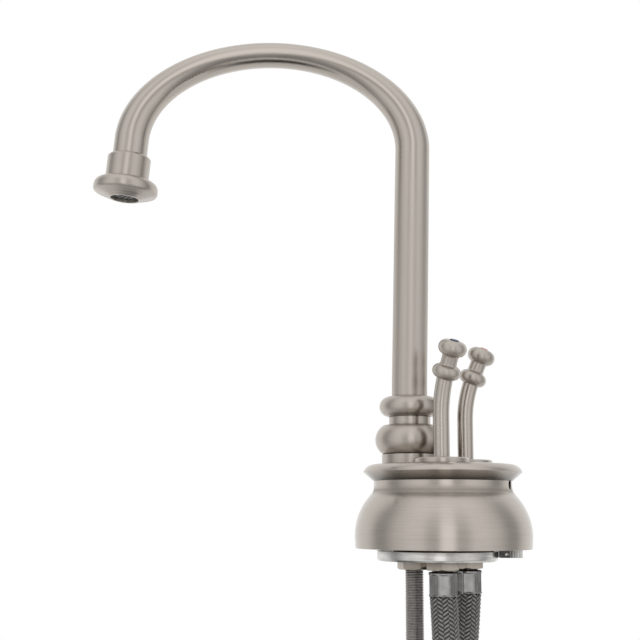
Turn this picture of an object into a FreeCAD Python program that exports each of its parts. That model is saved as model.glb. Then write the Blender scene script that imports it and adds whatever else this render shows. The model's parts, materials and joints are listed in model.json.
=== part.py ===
"""Hot and cold water dispenser tap: a gooseneck spout and two levers on a bell-shaped base.

The frame's origin is the centre of the deck seat, with +Z up. The spout points along -X at rest. The base is
turned about Z against the spout by base_turn, as the spout has been swivelled. Sizes are in millimetres and
degrees.
"""
import FreeCAD, Part
import math
import os
from collections import namedtuple

import Sketcher

SIZES = {
    # Plan of the base, measured from the centre of the deck seat
    "base_turn": 31.3,
    "bell_offset": 3.0,
    "hub_offset": 12.8,
    "stud_offset": 11.2,
    "valve_offset": 8.6,
    "valve_spacing": 25.0,
    "lever_splay": 21.3,
    # Fits
    "thread_fit": 0.05,
    "running_fit": 0.05,
    "slide_gap": 0.1,
    # Bell cover, from its foot to its rolled rim
    "bell_foot": 5.3,
    "bell_foot_radius": 38.2,
    "bell_radius": 38.5,
    "bell_skirt": 5.2,
    "dome_height": 18.4,
    "step_radius": 30.9,
    "neck_radius": 30.1,
    "neck_height": 5.2,
    "neck_flare": 2.4,
    "rim_cove": 3.9,
    "rim_round": 4.4,
    "rim_crown": 3.3,
    "rim_radius": 34.7,
    "bell_wall": 2.0,
    # Base plate with the seat ring under it
    "plate_thick": 4.2,
    "plate_chamfer": 0.8,
    "land_width": 2.0,
    "land_recess": 0.6,
    "seat_clear": 0.4,
    # Valve block in the bell
    "body_clear": 2.1,
    "foot_setback": 1.5,
    "flange_clear": 3.2,
    "flange_rise": 0.2,
    "flange_thick": 2.5,
    "gallery_radius": 4.5,
    "gallery_sump": 2.5,
    "drilling_radius": 1.6,
    # Post under the spout
    "socket_radius": 12.6,
    "socket_height": 4.8,
    "ball_radius": 15.5,
    "ball_height": 13.0,
    "ball_land": 11.9,
    "post_thread_radius": 9.5,
    "post_thread_length": 13.3,
    "post_hole_clear": 0.3,
    "post_cavity_radius": 7.6,
    "swivel_bore": 6.0,
    "swivel_length": 12.5,
    "ring_radius": 9.3,
    "ring_height": 3.8,
    # Spout foot
    "bead_radius": 13.6,
    "bead_height": 9.0,
    "bead_floor": 1.6,
    "spigot_bore": 3.8,
    "o_ring_section": 1.0,
    "o_ring_first": 3.0,
    "o_ring_spacing": 5.0,
    "clip_ring_thick": 1.0,
    "clip_ring_radius": 7.2,
    "clip_ring_play": 0.3,
    "clip_ring_land": 0.9,
    "clip_ring_groove": 5.0,
    # Gooseneck
    "tube_radius": 7.95,
    "tube_wall": 1.2,
    "riser_straight": 1.0,
    "riser_bend": 400.0,
    "riser_lean": 1.2,
    "arch_height": 187.75,
    "arch_half_span": 65.8,
    "arch_rise": 45.2,
    "nozzle_tilt": 5.0,
    "nozzle_drop": 8.4,
    # Nozzle, measured up from its outlet
    "collar_radius": 10.0,
    "collar_length": 11.9,
    "collar_chamfer": 1.0,
    "tube_engage": 7.0,
    "flange_radius": 14.9,
    "flange_height": 8.6,
    "flange_edge": 3.8,
    "flange_round": 1.6,
    "flange_land": 1.2,
    "flange_crown": 11.4,
    "outlet_radius": 6.5,
    "outlet_lip": 1.1,
    "outlet_floor": 2.2,
    "underside_step": 0.6,
    "aerator_radius": 9.0,
    "collar_spigot": 2.5,
    "washer_thick": 1.5,
    "washer_bore": 5.5,
    "straightener_hole": 0.75,
    "straightener_spacing": 2.3,
    # Levers
    "lever_radius": 3.55,
    "lever_swing": 18.0,
    "lever_rise": 20.0,
    "lever_bend": 51.2,
    "lever_lean": 22.0,
    "knob_radius": 6.2,
    "knob_round": 3.0,
    "top_knob_round": 3.3,
    "waist_round": 1.0,
    "waist_length": 2.9,
    "cap_radius": 2.2,
    "cap_height": 1.1,
    "cap_seat": 0.6,
    "lever_plate_radius": 11.8,
    "lever_plate_thick": 2.3,
    "lever_plate_chamfer": 0.4,
    "lever_clear": 0.45,
    "lever_plate_clear": 0.75,
    "pivot_depth": 6.3,
    "pin_radius": 1.25,
    "pin_bearing": 3.0,
    "cam_radius": 6.0,
    "cam_offset": 3.0,
    "cam_width": 7.0,
    "cam_gap": 0.3,
    "pocket_clear": 1.0,
    # Valves under the levers
    "valve_bore": 5.0,
    "cartridge_length": 10.8,
    "seat_lip": 1.2,
    "seat_radius": 2.2,
    "chamber_radius": 3.6,
    "chamber_height": 4.1,
    "head_sink": 1.0,
    "head_radius": 3.0,
    "head_thick": 1.3,
    "head_clear": 0.4,
    "stem_radius": 2.0,
    "stem_seal_section": 0.9,
    "stem_seal_room": 0.1,
    "stem_tip_radius": 1.1,
    "valve_gap": 0.1,
    "valve_washer_radius": 3.4,
    "valve_washer_thick": 1.6,
    "foot_thick": 1.0,
    "foot_radius": 3.2,
    "groove_depth": 0.7,
    "spring_wire": 0.6,
    "spring_radius": 2.4,
    "spring_turns": 4.0,
    # Stud and screws
    "stud_radius": 4.0,
    "stud_end_radius": 3.5,
    "stud_hang": 75.0,
    "stud_engage": 7.0,
    "nut_flats": 13.0,
    "nut_height": 4.6,
    "nut_turn": 14.0,
    "screw_radius": 2.0,
    "screw_head": 3.6,
    "screw_head_height": 1.6,
    "screw_length": 12.0,
    "screw_front": 5.5,
    "screw_back": 6.0,
    "screw_spread": 28.0,
    "set_screw_radius": 2.0,
    "set_screw_length": 4.0,
    "set_screw_turn": 24.0,
    "set_screw_drop": 1.6,
    "set_screw_sink": 1.3,
    # Ear under the bell
    "ear_gap": 0.5,
    "ear_length": 9.8,
    "ear_width": 8.0,
    "ear_height": 4.0,
    "ear_round": 1.5,
    "ear_hole": 0.8,
    "ear_hole_at": 3.0,
    "ear_hole_drop": 2.7,
    "ear_screw_at": 6.4,
    "ear_screw_radius": 1.25,
    "ear_screw_head": 2.3,
    "ear_screw_head_height": 1.05,
    "ear_screw_bite": 2.0,
    # Hoses and their ends
    "fitting_flats": 13.5,
    "fitting_height": 4.0,
    "fitting_turn": 22.0,
    "fitting_shank": 6.4,
    "fitting_bore": 2.6,
    "hex_bevel": 0.5,
    "hose_radius": 5.6,
    "hose_bore": 3.1,
    "ferrule_radius": 6.15,
    "ferrule_length": 9.9,
    "ferrule_gap": 0.7,
    "fitting_neck": 4.6,
    "ferrule_lip": 1.2,
    "ferrule_waist": 0.25,
    "flute_radius": 0.7,
    "flute_depth": 0.3,
    "flutes": 12,
    "tail_neck": 4.2,
    "tail_neck_length": 3.6,
    "tail_flange": 6.4,
    "tail_flange_thick": 2.0,
    "end_nut_flats": 17.0,
    "end_nut_length": 13.0,
    "end_nut_thread": 7.0,
    "end_nut_recess": 6.6,
    "end_nut_wall": 2.5,
    "end_nut_play": 0.3,
}

# The share of the shorter run beside a hose's corner that its arc takes up
ARC_SHARE = 0.45
# Each hose hangs from its upper ferrule along points chosen by hand, from that ferrule's lower face.
COLD_ROUTE = [(0, 0, 0), (0, 0, -14), (1, 0, -38), (3, -1, -82), (8, -2, -135), (13, 0, -190), (15, 4, -245),
              (13, 8, -298), (11, 9, -342), (11, 9, -380)]
HOT_ROUTE = [(0, 0, 0), (0, 0, -12), (-2, 0, -34), (-6, 1, -76), (-11, 3, -128), (-13, 7, -182),
             (-11, 12, -236), (-7, 15, -288), (-5, 16, -335), (-5, 16, -375)]

doc = FreeCAD.newDocument("dispenser_tap")
sheet = doc.addObject("Spreadsheet::Sheet", "Sizes")
for row, (alias, number) in enumerate(SIZES.items(), start=1):
    sheet.set(f"A{row}", alias)
    sheet.set(f"B{row}", str(number))
    sheet.setAlias(f"B{row}", alias)
doc.recompute()


class Dim:
    """A size with its number and the expression that ties a feature to the sheet."""

    def __init__(self, text, number):
        self.text = text
        self.number = float(number)

    def __add__(self, other):
        other = dim(other)
        return Dim(f"({self.text} + {other.text})", self.number + other.number)

    def __sub__(self, other):
        other = dim(other)
        return Dim(f"({self.text} - {other.text})", self.number - other.number)

    def __mul__(self, other):
        other = dim(other)
        return Dim(f"({self.text} * {other.text})", self.number * other.number)

    def __truediv__(self, other):
        other = dim(other)
        return Dim(f"({self.text} / {other.text})", self.number / other.number)

    def __neg__(self):
        return Dim(f"(0 - {self.text})", -self.number)


def dim(value):
    """A Dim of a size or of a plain number."""
    if isinstance(value, Dim):
        return value
    return Dim(f"({value})", value)


def cos(angle):
    return Dim(f"cos({angle.text})", math.cos(math.radians(angle.number)))


def sin(angle):
    return Dim(f"sin({angle.text})", math.sin(math.radians(angle.number)))


def tan(angle):
    return Dim(f"tan({angle.text})", math.tan(math.radians(angle.number)))


def hypot(one, other):
    return Dim(f"sqrt({one.text} ^ 2 + {other.text} ^ 2)", math.hypot(one.number, other.number))


def leg(longest, other):
    """The third side of a right triangle, from its longest side and another one."""
    number = math.sqrt(longest.number ** 2 - other.number ** 2)
    return Dim(f"sqrt({longest.text} ^ 2 - {other.text} ^ 2)", number)


def bearing(along_y, along_x):
    """The angle in degrees of a plan direction from +X."""
    number = math.degrees(math.atan2(along_y.number, along_x.number))
    return Dim(f"atan2({along_y.text}; {along_x.text})", number)


def arctan(slope):
    return Dim(f"atan({slope.text})", math.degrees(math.atan(slope.number)))


size = namedtuple("Sizes", SIZES)(*(Dim(f"Sizes.{alias}", sheet.get(alias)) for alias in SIZES))

# An edge of an outline that bows: an arc whose centre has the given radius or height.
Bow = namedtuple("Bow", "centre_radius centre_height left_turn")


def bow(radius=None, height=None, left_turn=True):
    return Bow(radius, height, left_turn)


def bind(thing, **sizes):
    for name, value in sizes.items():
        thing.setExpression(name, dim(value).text)
    return thing


def place(thing, x=0, y=0, z=0, turn=0, tip=0):
    """Moves a piece to a point, tipped about Y towards +X and then turned about Z."""
    spot = f"vector({dim(x).text}; {dim(y).text}; {dim(z).text})"
    turned_by = f"rotation(vector(0; 0; 1); {dim(turn).text})"
    tipped_by = f"rotation(vector(0; 1; 0); {dim(tip).text})"
    thing.setExpression("Placement", f"placement({spot}; {turned_by} * {tipped_by})")
    return thing


def arc_edge(start, end, bend):
    """The arc of an outline between two points, and which of its ends is the start."""
    middle = (start + end) / 2
    chord = end - start
    if bend.centre_radius is not None:
        across = bend.centre_radius.number
        centre = FreeCAD.Vector(across, middle.y - chord.x * (across - middle.x) / chord.y, 0)
    else:
        height = bend.centre_height.number
        centre = FreeCAD.Vector(middle.x - chord.y * (height - middle.y) / chord.x, height, 0)
    circle = Part.Circle(centre, FreeCAD.Vector(0, 0, 1), (start - centre).Length)
    first, last = (start, end) if bend.left_turn else (end, start)
    begin = math.atan2(first.y - centre.y, first.x - centre.x)
    finish = math.atan2(last.y - centre.y, last.x - centre.x)
    if finish <= begin:
        finish += 2 * math.pi
    return Part.ArcOfCircle(circle, begin, finish), (1, 2) if bend.left_turn else (2, 1)


def hold(sketch, edge, end, across, up):
    """Ties one point of a sketch to its radius and height."""
    for kind, value, axis in (("DistanceX", across, -2), ("DistanceY", up, -1)):
        if value is None:
            continue
        value = dim(value)
        if value.number == 0:
            sketch.addConstraint(Sketcher.Constraint("PointOnObject", edge, end, axis))
            continue
        index = sketch.addConstraint(Sketcher.Constraint(kind, -1, 1, edge, end, value.number))
        sketch.setExpression(f"Constraints[{index}]", value.text)


def draw(sketch, outline):
    """Draws a closed outline of (radius, height) points, with a bow between two where an edge bows."""
    corners = [point for point in outline if not isinstance(point, Bow)]
    bows = {}
    for place_in_list, point in enumerate(outline):
        if isinstance(point, Bow):
            bows[place_in_list - len(bows) - 1] = point
    spots = [FreeCAD.Vector(dim(across).number, dim(up).number, 0) for across, up in corners]
    ends = []
    for index, start in enumerate(spots):
        end = spots[(index + 1) % len(spots)]
        if index in bows:
            edge, order = arc_edge(start, end, bows[index])
        else:
            edge, order = Part.LineSegment(start, end), (1, 2)
        sketch.addGeometry(edge, False)
        ends.append(order)
    for index, order in enumerate(ends):
        after = (index + 1) % len(ends)
        sketch.addConstraint(Sketcher.Constraint("Coincident", index, order[1], after, ends[after][0]))
    for index, (across, up) in enumerate(corners):
        hold(sketch, index, ends[index][0], across, up)
    for index, bend in bows.items():
        hold(sketch, index, 3, bend.centre_radius, bend.centre_height)


def turned(name, outline, **where):
    """A body turned about its own Z axis from an outline of radii and heights."""
    body = doc.addObject("PartDesign::Body", name)
    sketch = body.newObject("Sketcher::SketchObject", f"{name}_outline")
    plane = next(feature for feature in body.Origin.OriginFeatures if feature.Role == "XZ_Plane")
    sketch.AttachmentSupport = (plane, [""])
    sketch.MapMode = "FlatFace"
    draw(sketch, outline)
    revolution = body.newObject("PartDesign::Revolution", f"{name}_turning")
    revolution.Profile = sketch
    revolution.ReferenceAxis = (sketch, ["V_Axis"])
    revolution.Angle = 360
    return place(body, **where)


def cylinder(name, radius, height, **where):
    piece = doc.addObject("Part::Cylinder", name)
    return place(bind(piece, Radius=radius, Height=height), **where)


def box(name, length, width, height, **where):
    piece = doc.addObject("Part::Box", name)
    return place(bind(piece, Length=length, Width=width, Height=height), **where)


def countersink(name, wide, narrow, height, **where):
    piece = doc.addObject("Part::Cone", name)
    return place(bind(piece, Radius1=wide, Radius2=narrow, Height=height), **where)


def torus(name, ring, section, **where):
    piece = doc.addObject("Part::Torus", name)
    return place(bind(piece, Radius1=ring, Radius2=section), **where)


def fuse(name, pieces):
    piece = doc.addObject("Part::MultiFuse", name)
    piece.Shapes = pieces
    return piece


def cut(name, base, *tools):
    piece = doc.addObject("Part::Cut", name)
    piece.Base = base
    piece.Tool = tools[0] if len(tools) == 1 else fuse(f"{name}_tools", list(tools))
    return piece


def group(name, pieces):
    piece = doc.addObject("Part::Compound", name)
    piece.Links = pieces
    return piece


def ring(name, inner, outer, height, **where):
    """A plain ring with square edges."""
    outline = [(inner, dim(0)), (outer, dim(0)), (outer, height), (inner, height)]
    return turned(name, outline, **where)


def hexagon(name, flats, height, bevel, **where):
    """A hexagon bar end with the usual bevelled corners at both faces."""
    corner = flats / math.sqrt(3)
    bar = doc.addObject("Part::Prism", f"{name}_bar")
    bar.Polygon = 6
    bind(bar, Circumradius=corner, Height=height)
    flat = flats / 2
    blank = turned(f"{name}_blank", [
        (dim(0), dim(0)),
        (flat, dim(0)),
        (corner, bevel),
        (corner, height - bevel),
        (flat, height),
        (dim(0), height),
    ])
    piece = doc.addObject("Part::MultiCommon", name)
    piece.Shapes = [bar, blank]
    return place(piece, **where)


def feature(name, shape):
    piece = doc.addObject("Part::Feature", name)
    piece.Shape = shape
    return piece


# Heights above the deck that several pieces share
skirt_top = size.bell_foot + size.bell_skirt
step_height = skirt_top + size.dome_height
neck_top = step_height + size.neck_height
rim_under = neck_top + size.rim_cove
bell_top = rim_under + size.rim_crown
body_top = bell_top - size.bell_wall
flange_under = size.bell_foot + size.flange_rise
post_foot = bell_top - size.post_thread_length
socket_top = bell_top + size.socket_height
ball_top = socket_top + size.ball_height
ring_top = ball_top + size.ring_height
bead_foot = ring_top + size.slide_gap
bead_top = bead_foot + size.bead_height
swivel_shoulder = ball_top - size.swivel_length
tube_foot = bead_foot + size.bead_floor
pivot_height = body_top - size.pivot_depth
cam_drop = size.cam_offset * sin(size.lever_swing)
cam_under = pivot_height - size.cam_radius
pocket_floor = cam_under - cam_drop - size.pocket_clear
seat_under = pocket_floor - size.cartridge_length
drilling_height = seat_under + size.seat_lip + size.chamber_height / 2
gallery_floor = drilling_height - size.gallery_sump
spring_seat = size.land_recess + size.fitting_shank
hex_under = size.land_recess - size.fitting_height
ferrule_under = hex_under - size.ferrule_gap - size.ferrule_length
nut_under = size.land_recess - size.nut_height

# Plan positions: along the base's axis of symmetry, and to either side of it
east = cos(size.base_turn)
south = sin(size.base_turn)
half_spacing = size.valve_spacing / 2


def plan(along, aside):
    """The plan point at a distance along the base's axis, away from the spout, and to its hot side."""
    along = dim(along)
    aside = dim(aside)
    return {"x": along * east + aside * south, "y": aside * east - along * south}


bell_axis = plan(size.bell_offset, 0)
hub_axis = plan(-size.hub_offset, 0)
stud_axis = plan(-size.stud_offset, 0)
valve_axes = {
    "cold": {**plan(size.valve_offset, -half_spacing), "turn": -size.base_turn - size.lever_splay},
    "hot": {**plan(size.valve_offset, half_spacing), "turn": size.lever_splay - size.base_turn},
}
screw_spots = [plan(size.screw_front, 0), plan(-size.screw_back, size.screw_spread / 2),
               plan(-size.screw_back, -size.screw_spread / 2)]
set_screw_turn = -size.set_screw_turn
set_screw_inner = size.neck_radius - size.set_screw_sink - size.set_screw_length

# Radii that several pieces share
valve_circle = hypot(size.valve_offset, half_spacing)
land_bore = valve_circle + size.fitting_flats / math.sqrt(3) + size.seat_clear
plate_radius = land_bore + size.land_width + size.plate_chamfer
body_radius = size.neck_radius - size.bell_wall - size.body_clear
body_flange = size.bell_foot_radius - size.bell_wall - size.flange_clear
body_foot = plate_radius - size.bell_offset - size.foot_setback
fitting_shank_radius = size.valve_bore - size.thread_fit
ear_start = plate_radius + size.ear_gap

# A lever passes through the bell's top and its slide plate
lever_slope = tan(size.lever_swing)
tilted_rod = size.lever_radius / cos(size.lever_swing)
slide_plate_foot = bell_top + size.slide_gap


def knob_waist(knob_round):
    """Where a knob's side runs into the rod: how far from its middle, and the last point of its own arc."""
    across = size.lever_radius + size.waist_round - size.knob_radius + knob_round
    span = knob_round + size.waist_round
    height = leg(span, across)
    share = knob_round / span
    return height, (size.knob_radius - knob_round + across * share, height * share)


def lean_out(height):
    """How far the lever's middle moves out at a height when the lever is pulled right over."""
    return (height - pivot_height) * lever_slope + size.cam_offset / cos(size.lever_swing) - size.cam_offset


def base_bell():
    inside = size.neck_radius - size.bell_wall
    rim_centre = size.rim_radius - size.rim_round
    shell = turned("bell_shell", [
        (size.bell_foot_radius - size.bell_wall, size.bell_foot),
        (size.bell_foot_radius, size.bell_foot),
        (size.bell_radius, skirt_top),
        bow(height=skirt_top),
        (size.step_radius, step_height),
        bow(height=step_height + size.neck_flare, left_turn=False),
        (size.neck_radius, step_height + size.neck_flare),
        (size.neck_radius, neck_top),
        (size.rim_radius, rim_under),
        bow(radius=rim_centre),
        (rim_centre, bell_top),
        (dim(0), bell_top),
        (dim(0), body_top),
        (inside, body_top),
        (inside, step_height),
        bow(height=skirt_top, left_turn=False),
        (size.bell_radius - size.bell_wall, skirt_top),
    ], **bell_axis)
    post_hole = cylinder("bell_post_hole", size.post_thread_radius + size.post_hole_clear, size.bell_wall * 2,
                         z=body_top - size.bell_wall / 2, **hub_axis)
    slots = []
    for side, axis in valve_axes.items():
        half_width = size.lever_radius + size.lever_clear
        reach = lean_out(bell_top) + tilted_rod + size.lever_clear
        slot = box(f"bell_{side}_slot", reach + half_width, half_width * 2, size.bell_wall * 2,
                   x=axis["x"] - half_width * cos(axis["turn"]) + half_width * sin(axis["turn"]),
                   y=axis["y"] - half_width * sin(axis["turn"]) - half_width * cos(axis["turn"]),
                   z=body_top - size.bell_wall / 2, turn=axis["turn"])
        slots.append(slot)
    screw_hole = cylinder("bell_screw_hole", size.set_screw_radius + size.thread_fit, size.bell_wall * 3,
                          x=bell_axis["x"] + (body_radius + size.body_clear / 2) * cos(set_screw_turn),
                          y=bell_axis["y"] + (body_radius + size.body_clear / 2) * sin(set_screw_turn),
                          z=neck_top - size.set_screw_drop, turn=set_screw_turn, tip=90)
    return cut("base_bell", shell, post_hole, *slots, screw_hole)


def base_plate():
    disc = turned("plate_disc", [
        (dim(0), size.land_recess),
        (land_bore, size.land_recess),
        (land_bore, dim(0)),
        (land_bore + size.land_width, dim(0)),
        (plate_radius, size.plate_chamfer),
        (plate_radius, size.plate_thick),
        (dim(0), size.plate_thick),
    ])
    holes = [cylinder("plate_stud_hole", size.stud_end_radius, size.plate_thick, **stud_axis)]
    for side, axis in valve_axes.items():
        hole = cylinder(f"plate_{side}_hole", size.valve_bore, size.plate_thick, x=axis["x"], y=axis["y"])
        holes.append(hole)
    shank = size.screw_radius + size.thread_fit
    head = size.screw_head + size.thread_fit
    for number, spot in enumerate(screw_spots, start=1):
        hole = cylinder(f"plate_screw_hole_{number}", shank, size.plate_thick, **spot)
        sink = countersink(f"plate_countersink_{number}", head, shank, size.screw_head_height,
                           z=size.land_recess, **spot)
        holes += [hole, sink]
    return cut("base_plate", disc, *holes)


def valve_body():
    block = turned("body_block", [
        (dim(0), size.plate_thick),
        (body_foot, size.plate_thick),
        (body_foot, flange_under),
        (body_flange, flange_under),
        (body_flange, flange_under + size.flange_thick),
        (body_radius, flange_under + size.flange_thick),
        (body_radius, body_top),
        (dim(0), body_top),
    ], **bell_axis)
    tools = [
        cylinder("body_post_bore", size.post_thread_radius + size.thread_fit, size.post_thread_length,
                 z=post_foot, **hub_axis),
        cylinder("body_gallery", size.gallery_radius, size.post_thread_length + post_foot - gallery_floor,
                 z=gallery_floor, **hub_axis),
        cylinder("body_stud_hole", size.stud_end_radius, size.stud_engage,
                 z=size.plate_thick, **stud_axis),
        cylinder("body_set_screw_hole", size.set_screw_radius + size.thread_fit, size.set_screw_length * 2,
                 x=bell_axis["x"] + set_screw_inner * cos(set_screw_turn),
                 y=bell_axis["y"] + set_screw_inner * sin(set_screw_turn),
                 z=neck_top - size.set_screw_drop, turn=set_screw_turn, tip=90),
        cylinder("body_ear_hole", size.ear_screw_radius + size.thread_fit, size.ear_screw_bite,
                 x=ear_start + size.ear_screw_at, y=bell_axis["y"], z=flange_under),
    ]
    for number, spot in enumerate(screw_spots, start=1):
        hole = cylinder(f"body_screw_hole_{number}", size.screw_radius + size.thread_fit,
                        size.screw_length, z=size.land_recess, **spot)
        tools.append(hole)
    for side, axis in valve_axes.items():
        tools.append(valve_room(side, axis))
        across = hub_axis["x"] - axis["x"]
        up = hub_axis["y"] - axis["y"]
        tools.append(cylinder(f"body_{side}_drilling", size.drilling_radius, hypot(across, up), x=axis["x"],
                              y=axis["y"], z=drilling_height, turn=bearing(up, across), tip=90))
    return cut("valve_body", block, *tools)


def valve_room(side, axis):
    """The room in the block for one lever's foot, its pin and the valve under it."""
    half_width = size.cam_width / 2 + size.lever_clear
    inward = size.cam_radius + size.lever_clear * 2
    outward = size.cam_radius + size.lever_clear * 3
    pin_half = size.cam_width / 2 + size.lever_clear + size.pin_bearing
    room = fuse(f"body_{side}_room", [
        cylinder(f"body_{side}_bore", size.valve_bore, pocket_floor - size.plate_thick, z=size.plate_thick),
        box(f"body_{side}_pocket", inward + outward, half_width * 2, body_top - pocket_floor,
            x=-inward, y=-half_width, z=pocket_floor),
        cylinder(f"body_{side}_pin_hole", size.pin_radius, pin_half * 2, x=-size.cam_offset, y=-pin_half,
                 z=pivot_height, turn=90, tip=90),
    ])
    return place(room, **axis)


def mounting_stud():
    """The threaded stud, with a thinner upper end in its nut, the plate and the block."""
    bevel = size.hex_bevel
    engaged = size.stud_end_radius - size.thread_fit
    foot = -size.stud_hang
    top = size.plate_thick + size.stud_engage
    return turned("mounting_stud", [
        (dim(0), foot),
        (size.stud_radius - bevel, foot),
        (size.stud_radius, foot + bevel),
        (size.stud_radius, nut_under),
        (engaged, nut_under),
        (engaged, top - bevel),
        (engaged - bevel, top),
        (dim(0), top),
    ], **stud_axis)


def stud_lock_nut():
    nut = hexagon("nut_hexagon", size.nut_flats, size.nut_height, size.hex_bevel)
    bore = cylinder("nut_bore", size.stud_end_radius, size.nut_height)
    return place(cut("stud_lock_nut", nut, bore), z=nut_under, turn=-size.nut_turn, **stud_axis)


def plate_screws():
    screws = []
    for number, spot in enumerate(screw_spots, start=1):
        screws.append(turned(f"plate_screw_{number}", [
            (dim(0), dim(0)),
            (size.screw_head, dim(0)),
            (size.screw_radius, size.screw_head_height),
            (size.screw_radius, size.screw_length),
            (dim(0), size.screw_length),
        ], z=size.land_recess, **spot))
    return group("plate_screws", screws)


def bell_set_screw():
    screw = cylinder("set_screw_shank", size.set_screw_radius, size.set_screw_length)
    socket = doc.addObject("Part::Prism", "set_screw_socket")
    socket.Polygon = 6
    bind(socket, Circumradius=size.set_screw_radius / 2, Height=size.set_screw_length / 2)
    place(socket, z=size.set_screw_length / 2)
    return place(cut("bell_set_screw", screw, socket),
                 x=bell_axis["x"] + set_screw_inner * cos(set_screw_turn),
                 y=bell_axis["y"] + set_screw_inner * sin(set_screw_turn),
                 z=neck_top - size.set_screw_drop, turn=set_screw_turn, tip=90)


def bell_clip():
    ear_under = flange_under - size.ear_height
    ear = box("ear_block", size.ear_length, size.ear_width, size.ear_height, x=ear_start,
              y=bell_axis["y"] - size.ear_width / 2, z=ear_under)
    doc.recompute()
    rounded = doc.addObject("Part::Fillet", "ear_rounded")
    rounded.Base = ear
    outer = [index for index, edge in enumerate(ear.Shape.Edges, start=1)
             if abs(edge.BoundBox.XMin - ear.Shape.BoundBox.XMax) < 1e-6 and edge.BoundBox.ZLength > 1e-6]
    round_now = size.ear_round.number
    rounded.Edges = [(index, round_now, round_now) for index in outer]
    eye = cylinder("ear_eye", size.ear_hole, size.ear_width, x=ear_start + size.ear_hole_at,
                   y=bell_axis["y"] - size.ear_width / 2, z=flange_under - size.ear_hole_drop,
                   turn=90, tip=90)
    spot = {"x": ear_start + size.ear_screw_at, "y": bell_axis["y"], "z": ear_under}
    hole = cylinder("ear_hole", size.ear_screw_radius + size.thread_fit, size.ear_height, **spot)
    sink = countersink("ear_countersink", size.ear_screw_head + size.thread_fit,
                       size.ear_screw_radius + size.thread_fit, size.ear_screw_head_height, **spot)
    return cut("bell_clip", rounded, eye, hole, sink)


def bell_clip_screw():
    length = size.ear_height + size.ear_screw_bite
    return turned("bell_clip_screw", [
        (dim(0), dim(0)),
        (size.ear_screw_head, dim(0)),
        (size.ear_screw_radius, size.ear_screw_head_height),
        (size.ear_screw_radius, length),
        (dim(0), length),
    ], x=ear_start + size.ear_screw_at, y=bell_axis["y"], z=flange_under - size.ear_height)


def spout_post():
    half_height = size.ball_height / 2
    bulge = size.ball_radius - size.ball_land
    ball_centre = size.ball_radius - (bulge * bulge + half_height * half_height) / (bulge * 2)
    return turned("spout_post", [
        (size.post_cavity_radius, post_foot),
        (size.post_thread_radius, post_foot),
        (size.post_thread_radius, bell_top),
        (size.socket_radius, bell_top),
        (size.socket_radius, socket_top),
        (size.ball_land, socket_top),
        bow(radius=ball_centre),
        (size.ball_land, ball_top),
        (size.swivel_bore, ball_top),
        (size.swivel_bore, swivel_shoulder),
        (size.post_cavity_radius, swivel_shoulder),
    ], **hub_axis)


def swivel_ring():
    return ring("swivel_ring", size.swivel_bore + size.slide_gap, size.ring_radius, size.ring_height,
                z=ball_top, **hub_axis)


def o_ring_heights():
    return [ball_top - size.o_ring_first, ball_top - size.o_ring_first - size.o_ring_spacing]


def spout_collar():
    spigot = size.swivel_bore - size.running_fit
    groove = spigot - size.o_ring_section - size.running_fit
    half_groove = size.o_ring_section / 2 + size.running_fit * 2
    clip_top = swivel_shoulder - size.clip_ring_play
    clip_foot = clip_top - size.clip_ring_thick
    foot = clip_foot - size.clip_ring_land
    bead_centre = size.bead_radius - size.bead_height / 2
    outline = [
        (size.spigot_bore, foot),
        (spigot, foot),
        (spigot, clip_foot),
        (size.clip_ring_groove, clip_foot),
        (size.clip_ring_groove, clip_top),
        (spigot, clip_top),
    ]
    for height in reversed(o_ring_heights()):
        outline += [
            (spigot, height - half_groove),
            (groove, height - half_groove),
            (groove, height + half_groove),
            (spigot, height + half_groove),
        ]
    outline += [
        (spigot, bead_foot),
        (bead_centre, bead_foot),
        bow(radius=bead_centre),
        (bead_centre, bead_top),
        (size.tube_radius + size.thread_fit, bead_top),
        (size.tube_radius + size.thread_fit, tube_foot),
        (size.spigot_bore, tube_foot),
    ]
    return turned("spout_collar", outline, **hub_axis)


def spout_o_rings():
    section = size.o_ring_section / 2
    middle = size.swivel_bore - size.running_fit - section
    rings = [torus(f"spout_o_ring_{number}", middle, section, z=height, **hub_axis)
             for number, height in enumerate(o_ring_heights(), start=1)]
    return group("spout_o_rings", rings)


def spout_clip():
    clip = ring("clip_ring", size.clip_ring_groove + size.thread_fit, size.clip_ring_radius,
                size.clip_ring_thick)
    gap = box("clip_ring_gap", size.clip_ring_radius, size.spigot_bore * 2, size.clip_ring_thick,
              y=-size.spigot_bore)
    return place(cut("spout_clip", clip, gap), z=swivel_shoulder - size.clip_ring_play - size.clip_ring_thick,
                 **hub_axis)


# The riser bends a little above its collar, and leans away from the outlet from there on
bend_foot = bead_top + size.riser_straight
bend_top = bend_foot + size.riser_bend * sin(size.riser_lean)
bend_shift = size.riser_bend * (dim(1) - cos(size.riser_lean))
riser_top_x = hub_axis["x"] + bend_shift + (size.arch_height - bend_top) * tan(size.riser_lean)
# The arch is half an oval that leans with the riser, and ends where it has the nozzle's tilt
arch_end = arctan(size.arch_rise / size.arch_half_span * tan(size.nozzle_tilt - size.riser_lean))
arch_reach = size.arch_half_span * (dim(1) + cos(arch_end))
arch_lift = size.arch_rise * sin(arch_end)
arch_tip_x = riser_top_x - arch_reach * cos(size.riser_lean) + arch_lift * sin(size.riser_lean)
arch_tip_z = size.arch_height + arch_reach * sin(size.riser_lean) + arch_lift * cos(size.riser_lean)
nozzle_length = size.collar_length + size.flange_height
nozzle_reach = size.nozzle_drop + nozzle_length
nozzle_axis = {
    "x": arch_tip_x - nozzle_reach * sin(size.nozzle_tilt),
    "y": hub_axis["y"],
    "z": arch_tip_z - nozzle_reach * cos(size.nozzle_tilt),
    "tip": size.nozzle_tilt,
}
nozzle_down = FreeCAD.Vector(-sin(size.nozzle_tilt).number, 0, -cos(size.nozzle_tilt).number)


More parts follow.
